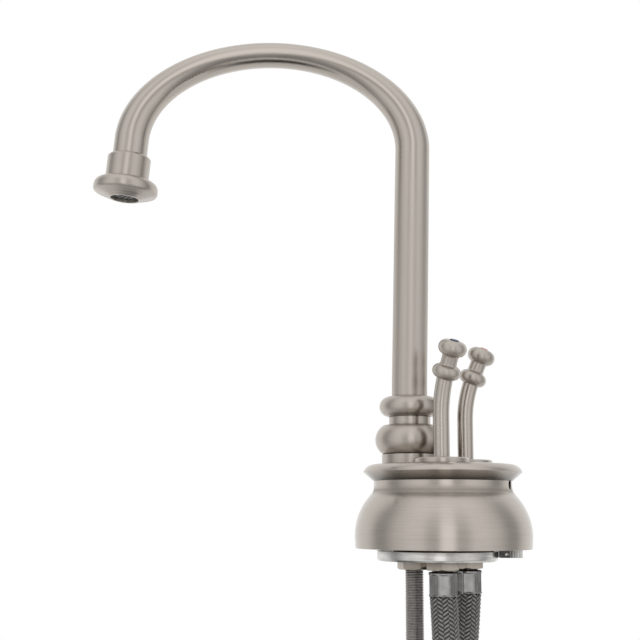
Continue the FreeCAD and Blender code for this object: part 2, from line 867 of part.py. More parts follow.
def in_arch(shape):
    """Squeezes a shape of a round ring about the origin to the arch's rise, and sets it leaning in place."""
    squeeze = FreeCAD.Matrix()
    squeeze.scale(1, 1, size.arch_rise.number / size.arch_half_span.number)
    settled = shape.transformGeometry(squeeze)
    settled.rotate(FreeCAD.Vector(0, 0, 0), FreeCAD.Vector(0, 1, 0), size.riser_lean.number)
    lean = math.radians(size.riser_lean.number)
    half_span = FreeCAD.Vector(math.cos(lean), 0, -math.sin(lean)) * size.arch_half_span.number
    top = FreeCAD.Vector(riser_top_x.number, hub_axis["y"].number, size.arch_height.number)
    settled.translate(top - half_span)
    return settled


def bend_point(angle):
    """A point of the riser's bend, where it has come to an angle."""
    bend = size.riser_bend.number
    foot = FreeCAD.Vector(hub_axis["x"].number, hub_axis["y"].number, bend_foot.number)
    return foot + FreeCAD.Vector(bend * (1 - math.cos(angle)), 0, bend * math.sin(angle))


def spout_solid(radius):
    """The gooseneck as a full solid of one radius: leaning riser, oval arch and straight end."""
    lean = math.radians(size.riser_lean.number)
    foot = FreeCAD.Vector(hub_axis["x"].number, hub_axis["y"].number, tube_foot.number)
    top = FreeCAD.Vector(riser_top_x.number, hub_axis["y"].number, size.arch_height.number)
    riser_path = Part.Wire([
        Part.LineSegment(foot, bend_point(0)).toShape(),
        Part.Arc(bend_point(0), bend_point(lean / 2), bend_point(lean)).toShape(),
        Part.LineSegment(bend_point(lean), top).toShape(),
    ])
    riser = swept(riser_path, FreeCAD.Vector(0, 0, 1), radius)
    middle = FreeCAD.Vector(0, 0, 0)
    across = FreeCAD.Vector(0, -1, 0)
    start = FreeCAD.Vector(size.arch_half_span.number, 0, 0)
    disc = Part.Face(Part.Wire([Part.Circle(start, FreeCAD.Vector(0, 0, 1), radius).toShape()]))
    swing = 180 - arch_end.number
    arch = in_arch(disc.revolve(middle, across, swing))
    disc.rotate(middle, across, swing)
    length = size.nozzle_drop + size.tube_engage + size.tube_radius
    straight = in_arch(disc).extrude(nozzle_down * length.number)
    return riser.fuse([arch, straight])


def spout_tube():
    radius = size.tube_radius.number
    outer = spout_solid(radius)
    inner = spout_solid(radius - size.tube_wall.number)
    tip = FreeCAD.Vector(arch_tip_x.number, hub_axis["y"].number, arch_tip_z.number)
    mouth = tip + nozzle_down * (size.nozzle_drop + size.tube_engage).number
    beyond = Part.makeCylinder(radius * 2, radius * 2, mouth, nozzle_down)
    return feature("spout_tube", outer.cut([inner, beyond]))


def nozzle_collar():
    bore = size.tube_radius - size.tube_wall
    socket = size.tube_radius + size.thread_fit
    spigot = size.aerator_radius - size.thread_fit
    seat = nozzle_length - size.tube_engage
    return turned("nozzle_collar", [
        (bore, size.flange_height - size.collar_spigot),
        (spigot, size.flange_height - size.collar_spigot),
        (spigot, size.flange_height),
        (size.collar_radius, size.flange_height),
        (size.collar_radius, nozzle_length - size.collar_chamfer),
        (size.collar_radius - size.collar_chamfer, nozzle_length),
        (socket, nozzle_length),
        (socket, seat),
        (bore, seat),
    ], **nozzle_axis)


def aerator_housing():
    lip = size.outlet_radius + size.outlet_lip
    under = size.flange_edge - size.flange_round
    brim = size.flange_radius - size.flange_round
    rise = under / 3
    tread = (brim - lip) / 3
    land_top = size.flange_edge + size.flange_land
    return turned("aerator_housing", [
        (size.outlet_radius, dim(0)),
        (lip, dim(0)),
        (lip + tread - size.underside_step, rise),
        (lip + tread, rise),
        (lip + tread * 2 - size.underside_step, rise * 2),
        (lip + tread * 2, rise * 2),
        (brim, under),
        bow(height=size.flange_edge),
        (size.flange_radius, size.flange_edge),
        (size.flange_radius, land_top),
        bow(height=land_top),
        (size.flange_crown, size.flange_height),
        (size.aerator_radius, size.flange_height),
        (size.aerator_radius, size.outlet_floor),
        (size.outlet_radius, size.outlet_floor),
    ], **nozzle_axis)


def aerator_washer():
    foot = size.flange_height - size.collar_spigot - size.washer_thick
    outline_top = foot + size.washer_thick
    outer = size.aerator_radius - size.thread_fit
    return turned("aerator_washer", [(size.washer_bore, foot), (outer, foot), (outer, outline_top),
                                     (size.washer_bore, outline_top)], **nozzle_axis)


def aerator_insert():
    top = size.flange_height - size.collar_spigot - size.washer_thick
    nose = size.outlet_radius - size.thread_fit
    outer = size.aerator_radius - size.thread_fit
    plug = turned("straightener_plug", [
        (dim(0), size.outlet_floor / 2),
        (nose, size.outlet_floor / 2),
        (nose, size.outlet_floor),
        (outer, size.outlet_floor),
        (outer, top),
        (dim(0), top),
    ])
    holes = [cylinder("straightener_hole_0", size.straightener_hole, top)]
    for circle in (1, 2):
        count = 6 * circle
        for number in range(count):
            angle = 2 * math.pi * number / count
            radius = size.straightener_spacing * circle
            holes.append(cylinder(f"straightener_hole_{circle}_{number}", size.straightener_hole, top,
                                  x=radius * math.cos(angle), y=radius * math.sin(angle)))
    return place(cut("aerator_insert", plug, *holes), **nozzle_axis)


# The knobs on a lever's leaning end, measured from the lower knob's middle
knob_spacing = knob_waist(size.knob_round)[0] + size.waist_length + knob_waist(size.top_knob_round)[0]
knob_top = knob_spacing + size.top_knob_round


def lever(side, axis):
    """One lever: a bent rod with two knobs, and an eccentric foot that turns on its pin."""
    lean = math.radians(size.lever_lean.number)
    bend = size.lever_bend.number
    foot = FreeCAD.Vector(0, 0, pivot_height.number)
    bend_start = FreeCAD.Vector(0, 0, (bell_top + size.lever_rise).number)
    bend_point = bend_start + FreeCAD.Vector(bend * (1 - math.cos(lean / 2)), 0, bend * math.sin(lean / 2))
    bend_end = bend_start + FreeCAD.Vector(bend * (1 - math.cos(lean)), 0, bend * math.sin(lean))
    path = Part.Wire([
        Part.LineSegment(foot, bend_start).toShape(),
        Part.Arc(bend_start, bend_point, bend_end).toShape(),
    ])
    section = Part.Wire([Part.Circle(foot, FreeCAD.Vector(0, 0, 1), size.lever_radius.number).toShape()])
    rod = feature(f"{side}_lever_rod", path.makePipeShell([section], True, False))
    waist_foot, (shoulder_radius, shoulder_height) = knob_waist(size.knob_round)
    waist_top, (throat_radius, throat_height) = knob_waist(size.top_knob_round)
    ring_centre = size.knob_radius - size.knob_round
    top_centre = size.knob_radius - size.top_knob_round
    hollow = size.lever_radius + size.waist_round
    knobs = turned(f"{side}_lever_knobs", [
        (dim(0), -size.knob_round),
        (ring_centre, -size.knob_round),
        bow(radius=ring_centre),
        (shoulder_radius, shoulder_height),
        bow(radius=hollow, left_turn=False),
        (size.lever_radius, waist_foot),
        (size.lever_radius, knob_spacing - waist_top),
        bow(radius=hollow, left_turn=False),
        (throat_radius, knob_spacing - throat_height),
        bow(radius=top_centre),
        (top_centre, knob_top),
        (dim(0), knob_top),
    ], **lever_point(dim(0)))
    cam = cylinder(f"{side}_lever_cam", size.cam_radius, size.cam_width, y=-size.cam_width / 2,
                   z=pivot_height, turn=90, tip=90)
    pin_hole = cylinder(f"{side}_lever_pin_hole", size.pin_radius + size.running_fit, size.cam_width * 2,
                        x=-size.cam_offset, y=-size.cam_width, z=pivot_height, turn=90, tip=90)
    cap_seat = cylinder(f"{side}_lever_cap_seat", size.cap_radius + size.thread_fit, size.cap_height,
                        **lever_point(knob_top - size.cap_seat))
    whole = fuse(f"{side}_lever_whole", [rod, knobs, cam])
    return place(cut(f"{side}_lever", whole, pin_hole, cap_seat), **axis)


def lever_point(along):
    """A point of the lever's leaning end, at a distance past its lower knob, tipped as the lever leans."""
    bend_end = bell_top + size.lever_rise + size.lever_bend * sin(size.lever_lean)
    return {
        "x": size.lever_bend * (dim(1) - cos(size.lever_lean)) + along * sin(size.lever_lean),
        "z": bend_end + along * cos(size.lever_lean),
        "tip": size.lever_lean,
    }


def in_lever_frame(axis, spot):
    """A lever's own point as a place in the part's frame."""
    return {
        "x": axis["x"] + spot["x"] * cos(axis["turn"]),
        "y": axis["y"] + spot["x"] * sin(axis["turn"]),
        "z": spot["z"],
        "turn": axis["turn"],
        "tip": spot["tip"],
    }


def cap(side, axis):
    crown = size.cap_height / 2
    spot = lever_point(knob_top - size.cap_seat)
    return turned(f"{side}_cap", [
        (dim(0), dim(0)),
        (size.cap_radius, dim(0)),
        (size.cap_radius, crown),
        (size.cap_radius - crown, size.cap_height),
        (dim(0), size.cap_height),
    ], **in_lever_frame(axis, spot))


def lever_plate(side, axis):
    hole = size.lever_radius + size.lever_plate_clear
    edge = size.lever_plate_radius - size.lever_plate_chamfer
    return turned(f"{side}_lever_plate", [
        (hole, dim(0)),
        (size.lever_plate_radius, dim(0)),
        (size.lever_plate_radius, size.lever_plate_thick - size.lever_plate_chamfer),
        (edge, size.lever_plate_thick),
        (hole, size.lever_plate_thick),
    ], z=slide_plate_foot, **axis)


def pivot_pin(side, axis):
    half = size.cam_width / 2 + size.lever_clear + size.pin_bearing
    return cylinder(f"{side}_pivot_pin", size.pin_radius, half * 2,
                    x=axis["x"] - size.cam_offset * cos(axis["turn"]) + half * sin(axis["turn"]),
                    y=axis["y"] - size.cam_offset * sin(axis["turn"]) - half * cos(axis["turn"]),
                    z=pivot_height, turn=axis["turn"] + 90, tip=90)


def stem_seal_height():
    guide_foot = seat_under + size.seat_lip + size.chamber_height
    return (guide_foot + pocket_floor - size.head_sink) / 2


def cartridge(side, axis):
    outer = size.valve_bore - size.thread_fit
    guide = size.stem_radius + size.running_fit
    chamber_foot = seat_under + size.seat_lip
    chamber_top = chamber_foot + size.chamber_height
    seal = stem_seal_height()
    half_seal = size.stem_seal_section / 2 + size.stem_seal_room
    sleeve = turned(f"{side}_cartridge_sleeve", [
        (size.seat_radius, seat_under),
        (outer, seat_under),
        (outer, chamber_foot),
        (outer - size.groove_depth, chamber_foot),
        (outer - size.groove_depth, chamber_top),
        (outer, chamber_top),
        (outer, pocket_floor),
        (size.head_radius + size.head_clear, pocket_floor),
        (size.head_radius + size.head_clear, pocket_floor - size.head_sink),
        (guide, pocket_floor - size.head_sink),
        (guide, seal + half_seal),
        (guide + size.stem_seal_section + size.stem_seal_room, seal + half_seal),
        (guide + size.stem_seal_section + size.stem_seal_room, seal - half_seal),
        (guide, seal - half_seal),
        (guide, chamber_top),
        (size.chamber_radius, chamber_top),
        (size.chamber_radius, chamber_foot),
        (size.seat_radius, chamber_foot),
    ])
    windows = [cylinder(f"{side}_cartridge_window_{turn}", size.drilling_radius, size.valve_bore * 2,
                        x=-size.valve_bore * math.cos(math.radians(turn)),
                        y=-size.valve_bore * math.sin(math.radians(turn)),
                        z=drilling_height, turn=turn, tip=90) for turn in (0, 90)]
    return place(cut(f"{side}_cartridge", sleeve, *windows), **axis)


def stem_seal(side, axis):
    section = size.stem_seal_section / 2
    return torus(f"{side}_stem_seal", size.stem_radius + size.running_fit + section, section,
                 x=axis["x"], y=axis["y"], z=stem_seal_height())


def plunger(side, axis):
    top = cam_under - size.cam_gap
    washer_foot = seat_under - size.valve_gap - size.valve_washer_thick
    foot = washer_foot - size.foot_thick
    tip_top = seat_under + size.seat_lip
    return turned(f"{side}_plunger", [
        (dim(0), foot),
        (size.foot_radius, foot),
        (size.foot_radius, washer_foot),
        (size.stem_tip_radius, washer_foot),
        (size.stem_tip_radius, tip_top),
        (size.stem_radius, tip_top),
        (size.stem_radius, top - size.head_thick),
        (size.head_radius, top - size.head_thick),
        (size.head_radius, top),
        (dim(0), top),
    ], x=axis["x"], y=axis["y"])


def plunger_washer(side, axis):
    return ring(f"{side}_plunger_washer", size.stem_tip_radius + size.thread_fit, size.valve_washer_radius,
                size.valve_washer_thick, x=axis["x"], y=axis["y"],
                z=seat_under - size.valve_gap - size.valve_washer_thick)


def corner_arc(corner, into, out, setback):
    """The arc that rounds a corner between two directions, with its radius."""
    radius = setback / math.tan(into.getAngle(out) / 2)
    start = corner - into * setback
    end = corner + out * setback
    inward = ((start + end) / 2 - corner).normalize()
    middle = corner + inward * (math.hypot(radius, setback) - radius)
    return Part.Arc(start, middle, end), radius


def coil_path(radius, height, turns):
    """A coil of quarter turns, each made of two arcs that share a tangent."""
    quarters = max(1, round(4 * turns))
    step = 2 * math.pi * turns / quarters
    slope = height / (2 * math.pi * turns)
    points = []
    tangents = []
    for number in range(quarters + 1):
        angle = step * number
        east_part = radius * math.cos(angle)
        north_part = radius * math.sin(angle)
        points.append(FreeCAD.Vector(east_part, north_part, slope * angle))
        tangents.append(FreeCAD.Vector(-north_part, east_part, slope).normalize())
    edges = []
    for begin, finish, into, out in zip(points, points[1:], tangents, tangents[1:]):
        chord = finish - begin
        both = into + out
        spread = both.dot(both) - 4
        lean = chord.dot(both)
        setback = (lean - math.sqrt(lean ** 2 - spread * chord.dot(chord))) / spread
        first = begin + into * setback
        second = finish - out * setback
        between = (second - first).normalize()
        edges.append(corner_arc(first, into, between, setback)[0].toShape())
        edges.append(corner_arc(second, between, out, setback)[0].toShape())
    return Part.Wire(edges)


def swept(path, direction, radius):
    """A round solid along a path, whose volume has to be its section times its length."""
    section = Part.Wire([Part.Circle(path.Vertexes[0].Point, direction, radius).toShape()])
    solid = path.makePipeShell([section], True, False)
    expected = math.pi * radius ** 2 * path.Length
    if abs(solid.Volume - expected) > 0.01 * expected:
        raise ValueError(f"a swept solid has volume {solid.Volume}, not {expected}")
    return solid


def valve_spring(side, axis):
    wire = size.spring_wire / 2
    spring_top = seat_under - size.valve_gap - size.valve_washer_thick - size.foot_thick
    coil_height = spring_top - spring_seat - size.spring_wire - size.slide_gap * 2
    path = coil_path(size.spring_radius.number, coil_height.number, size.spring_turns.number)
    first_edge = path.OrderedEdges[0]
    start_direction = first_edge.tangentAt(first_edge.FirstParameter)
    spring = feature(f"{side}_valve_spring", swept(path, start_direction, wire.number))
    return place(spring, x=axis["x"], y=axis["y"], z=spring_seat + wire + size.slide_gap)


def hose_fitting(side, axis):
    hexagonal = hexagon(f"{side}_fitting_hexagon", size.fitting_flats, size.fitting_height, size.hex_bevel,
                        z=hex_under, turn=size.fitting_turn)
    shank = cylinder(f"{side}_fitting_shank", fitting_shank_radius, size.fitting_shank, z=size.land_recess)
    neck = cylinder(f"{side}_fitting_neck", size.fitting_neck, size.ferrule_gap,
                    z=hex_under - size.ferrule_gap)
    barb = cylinder(f"{side}_fitting_barb", size.hose_bore, size.ferrule_length, z=ferrule_under)
    bore = cylinder(f"{side}_fitting_bore", size.fitting_bore, spring_seat - ferrule_under, z=ferrule_under)
    whole = fuse(f"{side}_fitting_whole", [hexagonal, shank, neck, barb])
    return place(cut(f"{side}_hose_fitting", whole, bore), x=axis["x"], y=axis["y"])


def ferrule(name, upside_down, **where):
    """A crimped ferrule round the hose's end, with its lip at the fitting."""
    waist = size.ferrule_radius - size.ferrule_waist
    bore = size.hose_bore + size.thread_fit
    length = size.ferrule_length
    sleeve = turned(f"{name}_sleeve", [
        (bore, dim(0)),
        (size.ferrule_radius, dim(0)),
        (size.ferrule_radius, size.ferrule_lip),
        (waist, size.ferrule_lip * 2),
        (waist, length - size.ferrule_lip),
        (size.ferrule_radius, length - size.ferrule_lip),
        (size.ferrule_radius, length),
        (bore, length),
    ])
    flutes = []
    for number in range(int(size.flutes.number)):
        angle = 2 * math.pi * number / int(size.flutes.number)
        middle = waist + size.flute_radius - size.flute_depth
        flutes.append(cylinder(f"{name}_flute_{number}", size.flute_radius, length - size.ferrule_lip * 3,
                               x=middle * math.cos(angle), y=middle * math.sin(angle),
                               z=size.ferrule_lip * 2))
    crimped = cut(name, sleeve, *flutes)
    if upside_down:
        where["z"] = where["z"] + length
        return place(crimped, tip=180, **where)
    return place(crimped, **where)


def rounded_path(points, name):
    """Straight runs joined by tangent arcs, each as large as its two runs allow."""
    edges = []
    here = points[0]
    radii = []
    for before, corner, after in zip(points, points[1:], points[2:]):
        into = corner - before
        out = after - corner
        setback = ARC_SHARE * min(into.Length, out.Length)
        arc, radius = corner_arc(corner, into.normalize(), out.normalize(), setback)
        radii.append(radius)
        edges.append(Part.LineSegment(here, arc.StartPoint).toShape())
        edges.append(arc.toShape())
        here = arc.EndPoint
    edges.append(Part.LineSegment(here, points[-1]).toShape())
    print(f"{name} bend radii", [round(radius) for radius in radii])
    return Part.Wire(edges)


def hose_points(side, axis):
    start = FreeCAD.Vector(axis["x"].number, axis["y"].number, ferrule_under.number)
    route = COLD_ROUTE if side == "cold" else HOT_ROUTE
    return [start + FreeCAD.Vector(*step) for step in route]


def hose(side, axis):
    path = rounded_path(hose_points(side, axis), f"{side}_hose")
    down = FreeCAD.Vector(0, 0, -1)
    outer = swept(path, down, size.hose_radius.number)
    inner = swept(path, down, size.hose_bore.number)
    print(f"{side}_hose length", round(path.Length, 1))
    return feature(f"{side}_hose", outer.cut(inner))


def hose_end(side, axis):
    """Where a hose's lower end is: it hangs straight there."""
    route = COLD_ROUTE if side == "cold" else HOT_ROUTE
    across, aside, drop = route[-1]
    return {"x": axis["x"] + across, "y": axis["y"] + aside, "z": ferrule_under + drop}


def end_tail(side, axis):
    """The spigot crimped into the hose's lower end, with the flange that its nut pulls on."""
    end = hose_end(side, axis)
    ferrule_foot = dim(0) - size.ferrule_length
    neck_foot = ferrule_foot - size.tail_neck_length
    flange_foot = neck_foot - size.tail_flange_thick
    return turned(f"{side}_end_tail", [
        (size.fitting_bore, flange_foot),
        (size.tail_flange, flange_foot),
        (size.tail_flange, neck_foot),
        (size.tail_neck, neck_foot),
        (size.tail_neck, ferrule_foot),
        (size.hose_bore, ferrule_foot),
        (size.hose_bore, dim(0)),
        (size.fitting_bore, dim(0)),
    ], **end)


def end_nut(side, axis):
    end = hose_end(side, axis)
    hexagonal = hexagon(f"{side}_end_nut_hexagon", size.end_nut_flats, size.end_nut_length,
                        size.hex_bevel * 2)
    recess_top = size.end_nut_length - size.end_nut_wall
    recess = cylinder(f"{side}_end_nut_recess", size.end_nut_recess, recess_top)
    thread = cylinder(f"{side}_end_nut_thread", size.end_nut_thread,
                      recess_top - size.end_nut_play - size.tail_flange_thick)
    neck = cylinder(f"{side}_end_nut_neck", size.tail_neck + size.running_fit * 2, size.end_nut_length)
    nut_top = end["z"] - size.ferrule_length - size.tail_neck_length + size.end_nut_wall + size.end_nut_play
    return place(cut(f"{side}_end_nut", hexagonal, recess, thread, neck), x=end["x"], y=end["y"],
                 z=nut_top - size.end_nut_length)


nodes = [
    base_bell(),
    base_plate(),
    valve_body(),
    plate_screws(),
    bell_clip(),
    bell_clip_screw(),
    bell_set_screw(),
    mounting_stud(),
    stud_lock_nut(),
    spout_post(),
    swivel_ring(),
    spout_collar(),
    spout_o_rings(),
    spout_clip(),
    spout_tube(),
    nozzle_collar(),
    aerator_housing(),
    aerator_washer(),
    aerator_insert(),
]
for side, axis in valve_axes.items():
    end = hose_end(side, axis)
    nodes += [
        lever(side, axis),
        cap(side, axis),
        lever_plate(side, axis),
        pivot_pin(side, axis),
        cartridge(side, axis),
        stem_seal(side, axis),
        plunger(side, axis),
        plunger_washer(side, axis),
        valve_spring(side, axis),
        hose_fitting(side, axis),
        ferrule(f"{side}_top_ferrule", True, x=axis["x"], y=axis["y"], z=ferrule_under),
        hose(side, axis),
        ferrule(f"{side}_end_ferrule", False, x=end["x"], y=end["y"], z=end["z"] - size.ferrule_length),
        end_tail(side, axis),
        end_nut(side, axis),
    ]

doc.recompute()
for thing in doc.Objects:
    if "Invalid" in thing.State or "Error" in thing.State:
        raise RuntimeError(f"{thing.Name} failed: {thing.State}")
for node in nodes:
    if node.Shape.isNull() or not node.Shape.isValid():
        raise RuntimeError(f"{node.Label} has no valid shape")

os.makedirs("parts", exist_ok=True)
for node in nodes:
    node.Shape.exportStep(f"parts/{node.Label}.step")
print(len(nodes), "sub-parts written")
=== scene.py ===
"""Looks of the hot and cold water dispenser tap: brushed nickel, zinc, braided hoses and a studio.

Lengths are in metres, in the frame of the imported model: the origin is the centre of the deck seat,
+Z is up and the spout points along -X at rest.
"""
import bisect
import json
import math

import bpy
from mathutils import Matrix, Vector


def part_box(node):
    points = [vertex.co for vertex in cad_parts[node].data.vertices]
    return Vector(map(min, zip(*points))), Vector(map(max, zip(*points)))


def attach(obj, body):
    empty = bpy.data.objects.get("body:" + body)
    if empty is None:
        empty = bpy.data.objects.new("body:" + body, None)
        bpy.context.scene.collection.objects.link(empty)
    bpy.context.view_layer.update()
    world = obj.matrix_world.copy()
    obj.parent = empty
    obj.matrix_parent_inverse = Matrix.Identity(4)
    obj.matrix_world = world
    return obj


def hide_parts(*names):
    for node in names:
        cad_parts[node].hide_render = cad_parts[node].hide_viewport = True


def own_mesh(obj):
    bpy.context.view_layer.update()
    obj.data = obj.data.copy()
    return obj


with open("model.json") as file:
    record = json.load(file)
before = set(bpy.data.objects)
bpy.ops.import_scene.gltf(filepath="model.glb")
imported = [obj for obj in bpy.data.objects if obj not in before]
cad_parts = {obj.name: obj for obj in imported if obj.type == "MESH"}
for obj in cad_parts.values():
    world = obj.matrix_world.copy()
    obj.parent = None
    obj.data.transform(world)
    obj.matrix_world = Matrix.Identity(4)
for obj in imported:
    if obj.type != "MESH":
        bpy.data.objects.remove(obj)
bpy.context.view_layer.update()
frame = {"nodes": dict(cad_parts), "record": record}

MM = 0.001
NODES = frame["nodes"]
SIDES = ("cold", "hot")


def box_of(node):
    """The lowest and highest corners of a node at rest."""
    low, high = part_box(node)
    return Vector(low), Vector(high)


def middle(node):
    """The middle of a node's box at rest."""
    low, high = box_of(node)
    return (low + high) / 2


def foot_of(node):
    """The middle of the lower face of a node's box at rest."""
    low, high = box_of(node)
    return Vector(((low.x + high.x) / 2, (low.y + high.y) / 2, low.z))


# Camera at the photograph's viewing angle
CAMERA_SPOT = (-0.0511, -0.5079, 0.0194)
CAMERA_PITCH = 9.67
CAMERA_ROLL = -0.25
CAMERA_LENS = 64.35
CAMERA_SENSOR = 36.0
CAMERA_NEAR = 0.01


def add_camera():
    """The camera, which looks along +Y and a little up."""
    camera = bpy.data.objects.new("camera", bpy.data.cameras.new("camera"))
    camera.data.lens = CAMERA_LENS
    camera.data.sensor_width = CAMERA_SENSOR
    camera.data.clip_start = CAMERA_NEAR
    camera.location = CAMERA_SPOT
    camera.rotation_euler = (math.radians(90 + CAMERA_PITCH), math.radians(CAMERA_ROLL), 0)
    bpy.context.collection.objects.link(camera)
    bpy.context.scene.camera = camera


# Node trees

# Where most of a noise's values lie
NOISE_SPREAD = (0.25, 0.75)
# How open a crevice is where its painted shade is darkest, and where it has its full colour
CREVICE_OPEN = (0.3, 0.85)


class NodeTree:
    """A tree of shader nodes, with short ways to add nodes and to join them."""

    def __init__(self, tree):
        self.tree = tree

    def feed(self, socket, value):
        if isinstance(value, bpy.types.NodeSocket):
            self.tree.links.new(value, socket)
        else:
            socket.default_value = value

    def add(self, kind, inputs=None, **settings):
        node = self.tree.nodes.new(f"ShaderNode{kind}")
        for name, value in settings.items():
            setattr(node, name, value)
        for socket, value in (inputs or {}).items():
            self.feed(node.inputs[socket], value)
        return node

    def math(self, operation, one, other=0.0):
        return self.add("Math", {0: one, 1: other}, operation=operation).outputs[0]

    def vector(self, operation, one, other=(0, 0, 0), out="Vector"):
        return self.add("VectorMath", {0: one, 1: other}, operation=operation).outputs[out]

    def split(self, vector):
        return self.add("SeparateXYZ", {0: vector}).outputs

    def join(self, x, y, z):
        return self.add("CombineXYZ", {0: x, 1: y, 2: z}).outputs[0]

    def ramp(self, value, start, end, low, high):
        """A level that goes from low to high while a value goes from its start to its end."""
        inputs = {"Value": value, "From Min": start, "From Max": end, "To Min": low, "To Max": high}
        return self.add("MapRange", inputs).outputs[0]

    def mix(self, factor, one, other, kind="FLOAT"):
        """One value or vector at a factor of 0, and the other at 1."""
        first, out = {"FLOAT": (2, 0), "VECTOR": (4, 1)}[kind]
        inputs = {0: factor, first: one, first + 1: other}
        return self.add("Mix", inputs, data_type=kind).outputs[out]

    def times(self, colour, level):
        """A colour multiplied by a level."""
        inputs = {0: 1.0, 6: colour, 7: level}
        return self.add("Mix", inputs, data_type="RGBA", blend_type="MULTIPLY").outputs[2]

    def tint(self, factor, *stops):
        """A colour from a factor, by stops of (position, colour)."""
        ramp = self.add("ValToRGB", {0: factor})
        elements = ramp.color_ramp.elements
        while len(elements) < len(stops):
            elements.new(1.0)
        for element, (position, colour) in zip(elements, stops):
            element.position = position
            element.color = (*colour, 1)
        return ramp.outputs[0]

    def curve(self, factor, stops):
        """A level from a factor, by stops of (position, level)."""
        return self.tint(factor, *((position, (level,) * 3) for position, level in stops))


class Shader(NodeTree):
    """A material with a Principled surface."""

    def __init__(self, name, **sockets):
        self.material = bpy.data.materials.new(name)
        self.material.use_nodes = True
        super().__init__(self.material.node_tree)
        self.surface = self.tree.nodes["Principled BSDF"]
        for socket, value in sockets.items():
            self.set(socket.replace("_", " "), value)

    def set(self, socket, value):
        self.feed(self.surface.inputs[socket], value)

    def place(self):
        return self.add("TexCoord").outputs["Object"]

    def height(self):
        return self.split(self.place())[2]

    def local(self, point, turn=(0, 0, 0)):
        """The place on the surface as seen from a point and a turned frame."""
        inputs = {"Vector": self.place(), "Location": point, "Rotation": turn}
        return self.add("Mapping", inputs, vector_type="TEXTURE").outputs[0]

    def noise(self, vector, scale=1.0, detail=2.0, roughness=0.5, fourth=None):
        inputs = {"Vector": vector, "Scale": scale, "Detail": detail, "Roughness": roughness}
        if fourth is None:
            return self.add("TexNoise", inputs).outputs[0]
        return self.add("TexNoise", {**inputs, "W": fourth}, noise_dimensions="4D").outputs[0]

    def between(self, noise, low, high):
        """Maps a noise, whose values lie about 0.5, to a range."""
        return self.ramp(noise, *NOISE_SPREAD, low, high)

    def with_painted_crevice_shade(self, colour, reach, depth):
        """A colour with painted shade in crevices: it darkens down to a depth by how open it is
        within a reach.
        """
        openness = self.add("AmbientOcclusion", {"Distance": reach}, samples=16).outputs["AO"]
        return self.times(colour, self.ramp(openness, *CREVICE_OPEN, depth, 1.0))

    def bump(self, height, strength, depth, edge=0.0):
        """Feeds the surface's normal from a height, over edges softened by a small radius."""
        inputs = {"Height": height, "Strength": strength, "Distance": depth}
        if edge:
            inputs["Normal"] = self.add("Bevel", {"Radius": edge}, samples=4).outputs[0]
        self.set("Normal", self.add("Bump", inputs).outputs[0])


# Brushed nickel

NICKEL_DARK = (0.452, 0.411, 0.37)
NICKEL = (0.475, 0.434, 0.392)
NICKEL_LIGHT = (0.498, 0.456, 0.413)
# How painted shade darkens nickel in its crevices: within what reach and how far
NICKEL_SHADE = (1.6 * MM, 0.6)
STROKE_DEPTH = 0.02 * MM
SOFT_EDGE = 0.3 * MM
# A full turn is 1: the blur goes across the strokes, and the tangent along them
QUARTER_TURN = 0.25
# How fine the strokes are across the brushing, how often they change round the lathe, and how much
# more they blur across than along
TURNED_FINE = 1500.0
TURNED_SWEEP = 2.2
TURNED_BLUR = 0.82
# Ranges of roughness: of most parts, of the post and of the nozzle
BRUSHED_ROUGH = (0.2, 0.27)
POST_ROUGH = (0.28, 0.34)
NOZZLE_ROUGH = (0.27, 0.34)
# How far the nozzle's axis leans, in degrees
NOZZLE_TILT = 5.0


def nickel_finish(shader, strokes, tangent, roughness, strength=0.03, painted_shade=None):
    """Brushed nickel from the pattern of its strokes, which it blurs more across than along."""
    colour = shader.tint(strokes, (0.3, NICKEL_DARK), (0.5, NICKEL), (0.72, NICKEL_LIGHT))
    # A painted shade that the caller gives, such as under the bell's rim, darkens the colour
    if painted_shade is not None:
        colour = shader.times(colour, painted_shade)
    # Painted shade darkens the colour in crevices
    shader.set("Base Color", shader.with_painted_crevice_shade(colour, *NICKEL_SHADE))
    shader.set("Roughness", roughness)
    shader.set("Tangent", tangent)
    shader.set("Anisotropic Rotation", QUARTER_TURN)
    shader.bump(strokes, strength, STROKE_DEPTH, SOFT_EDGE)


def turned_strokes(shader, point, tilt=0.0, heading=0.0):
    """Strokes round an axis through a point, tipped towards a heading, and which way they run."""
    tip = math.radians(tilt)
    turn = math.radians(heading)
    x, y, z = shader.split(shader.local(point, (0, tip, turn)))
    flat = shader.join(x, y, 0.0)
    radius = shader.vector("LENGTH", flat, out="Value")
    around = shader.split(shader.vector("NORMALIZE", flat))
    spot = shader.join(shader.math("MULTIPLY", radius, TURNED_FINE),
                       shader.math("MULTIPLY", z, TURNED_FINE),
                       shader.math("MULTIPLY", around[0], TURNED_SWEEP))
    strokes = shader.noise(spot, detail=4.0, roughness=0.62,
                           fourth=shader.math("MULTIPLY", around[1], TURNED_SWEEP))
    axis = (math.sin(tip) * math.cos(turn), math.sin(tip) * math.sin(turn), math.cos(tip))
    from_point = shader.vector("SUBTRACT", shader.place(), point)
    tangent = shader.vector("CROSS_PRODUCT", axis, from_point)
    return strokes, shader.vector("NORMALIZE", tangent)


def turned_nickel(name, point, tilt=0.0, rough=BRUSHED_ROUGH):
    """Nickel brushed on the lathe."""
    shader = Shader(name, Metallic=1.0, Anisotropic=TURNED_BLUR)
    strokes, tangent = turned_strokes(shader, point, tilt)
    nickel_finish(shader, strokes, tangent, shader.between(strokes, *rough))
    return shader.material


# The bell's crease above its shoulder, and the cone under its rim from the neck to the edge, over
# which a painted shade fades from darkest by the neck to none
CREASE_HEIGHT = 30.0 * MM
CREASE_REACH = 2.4 * MM
CREASE_ROUGH = 0.6
RIM_FOOT = 34.1 * MM
RIM_EDGE = 38.0 * MM
RIM_SHADE = 0.2
# A face is under the rim, and gets the painted shade, where its normal's height is less than this
RIM_FACING = -0.2


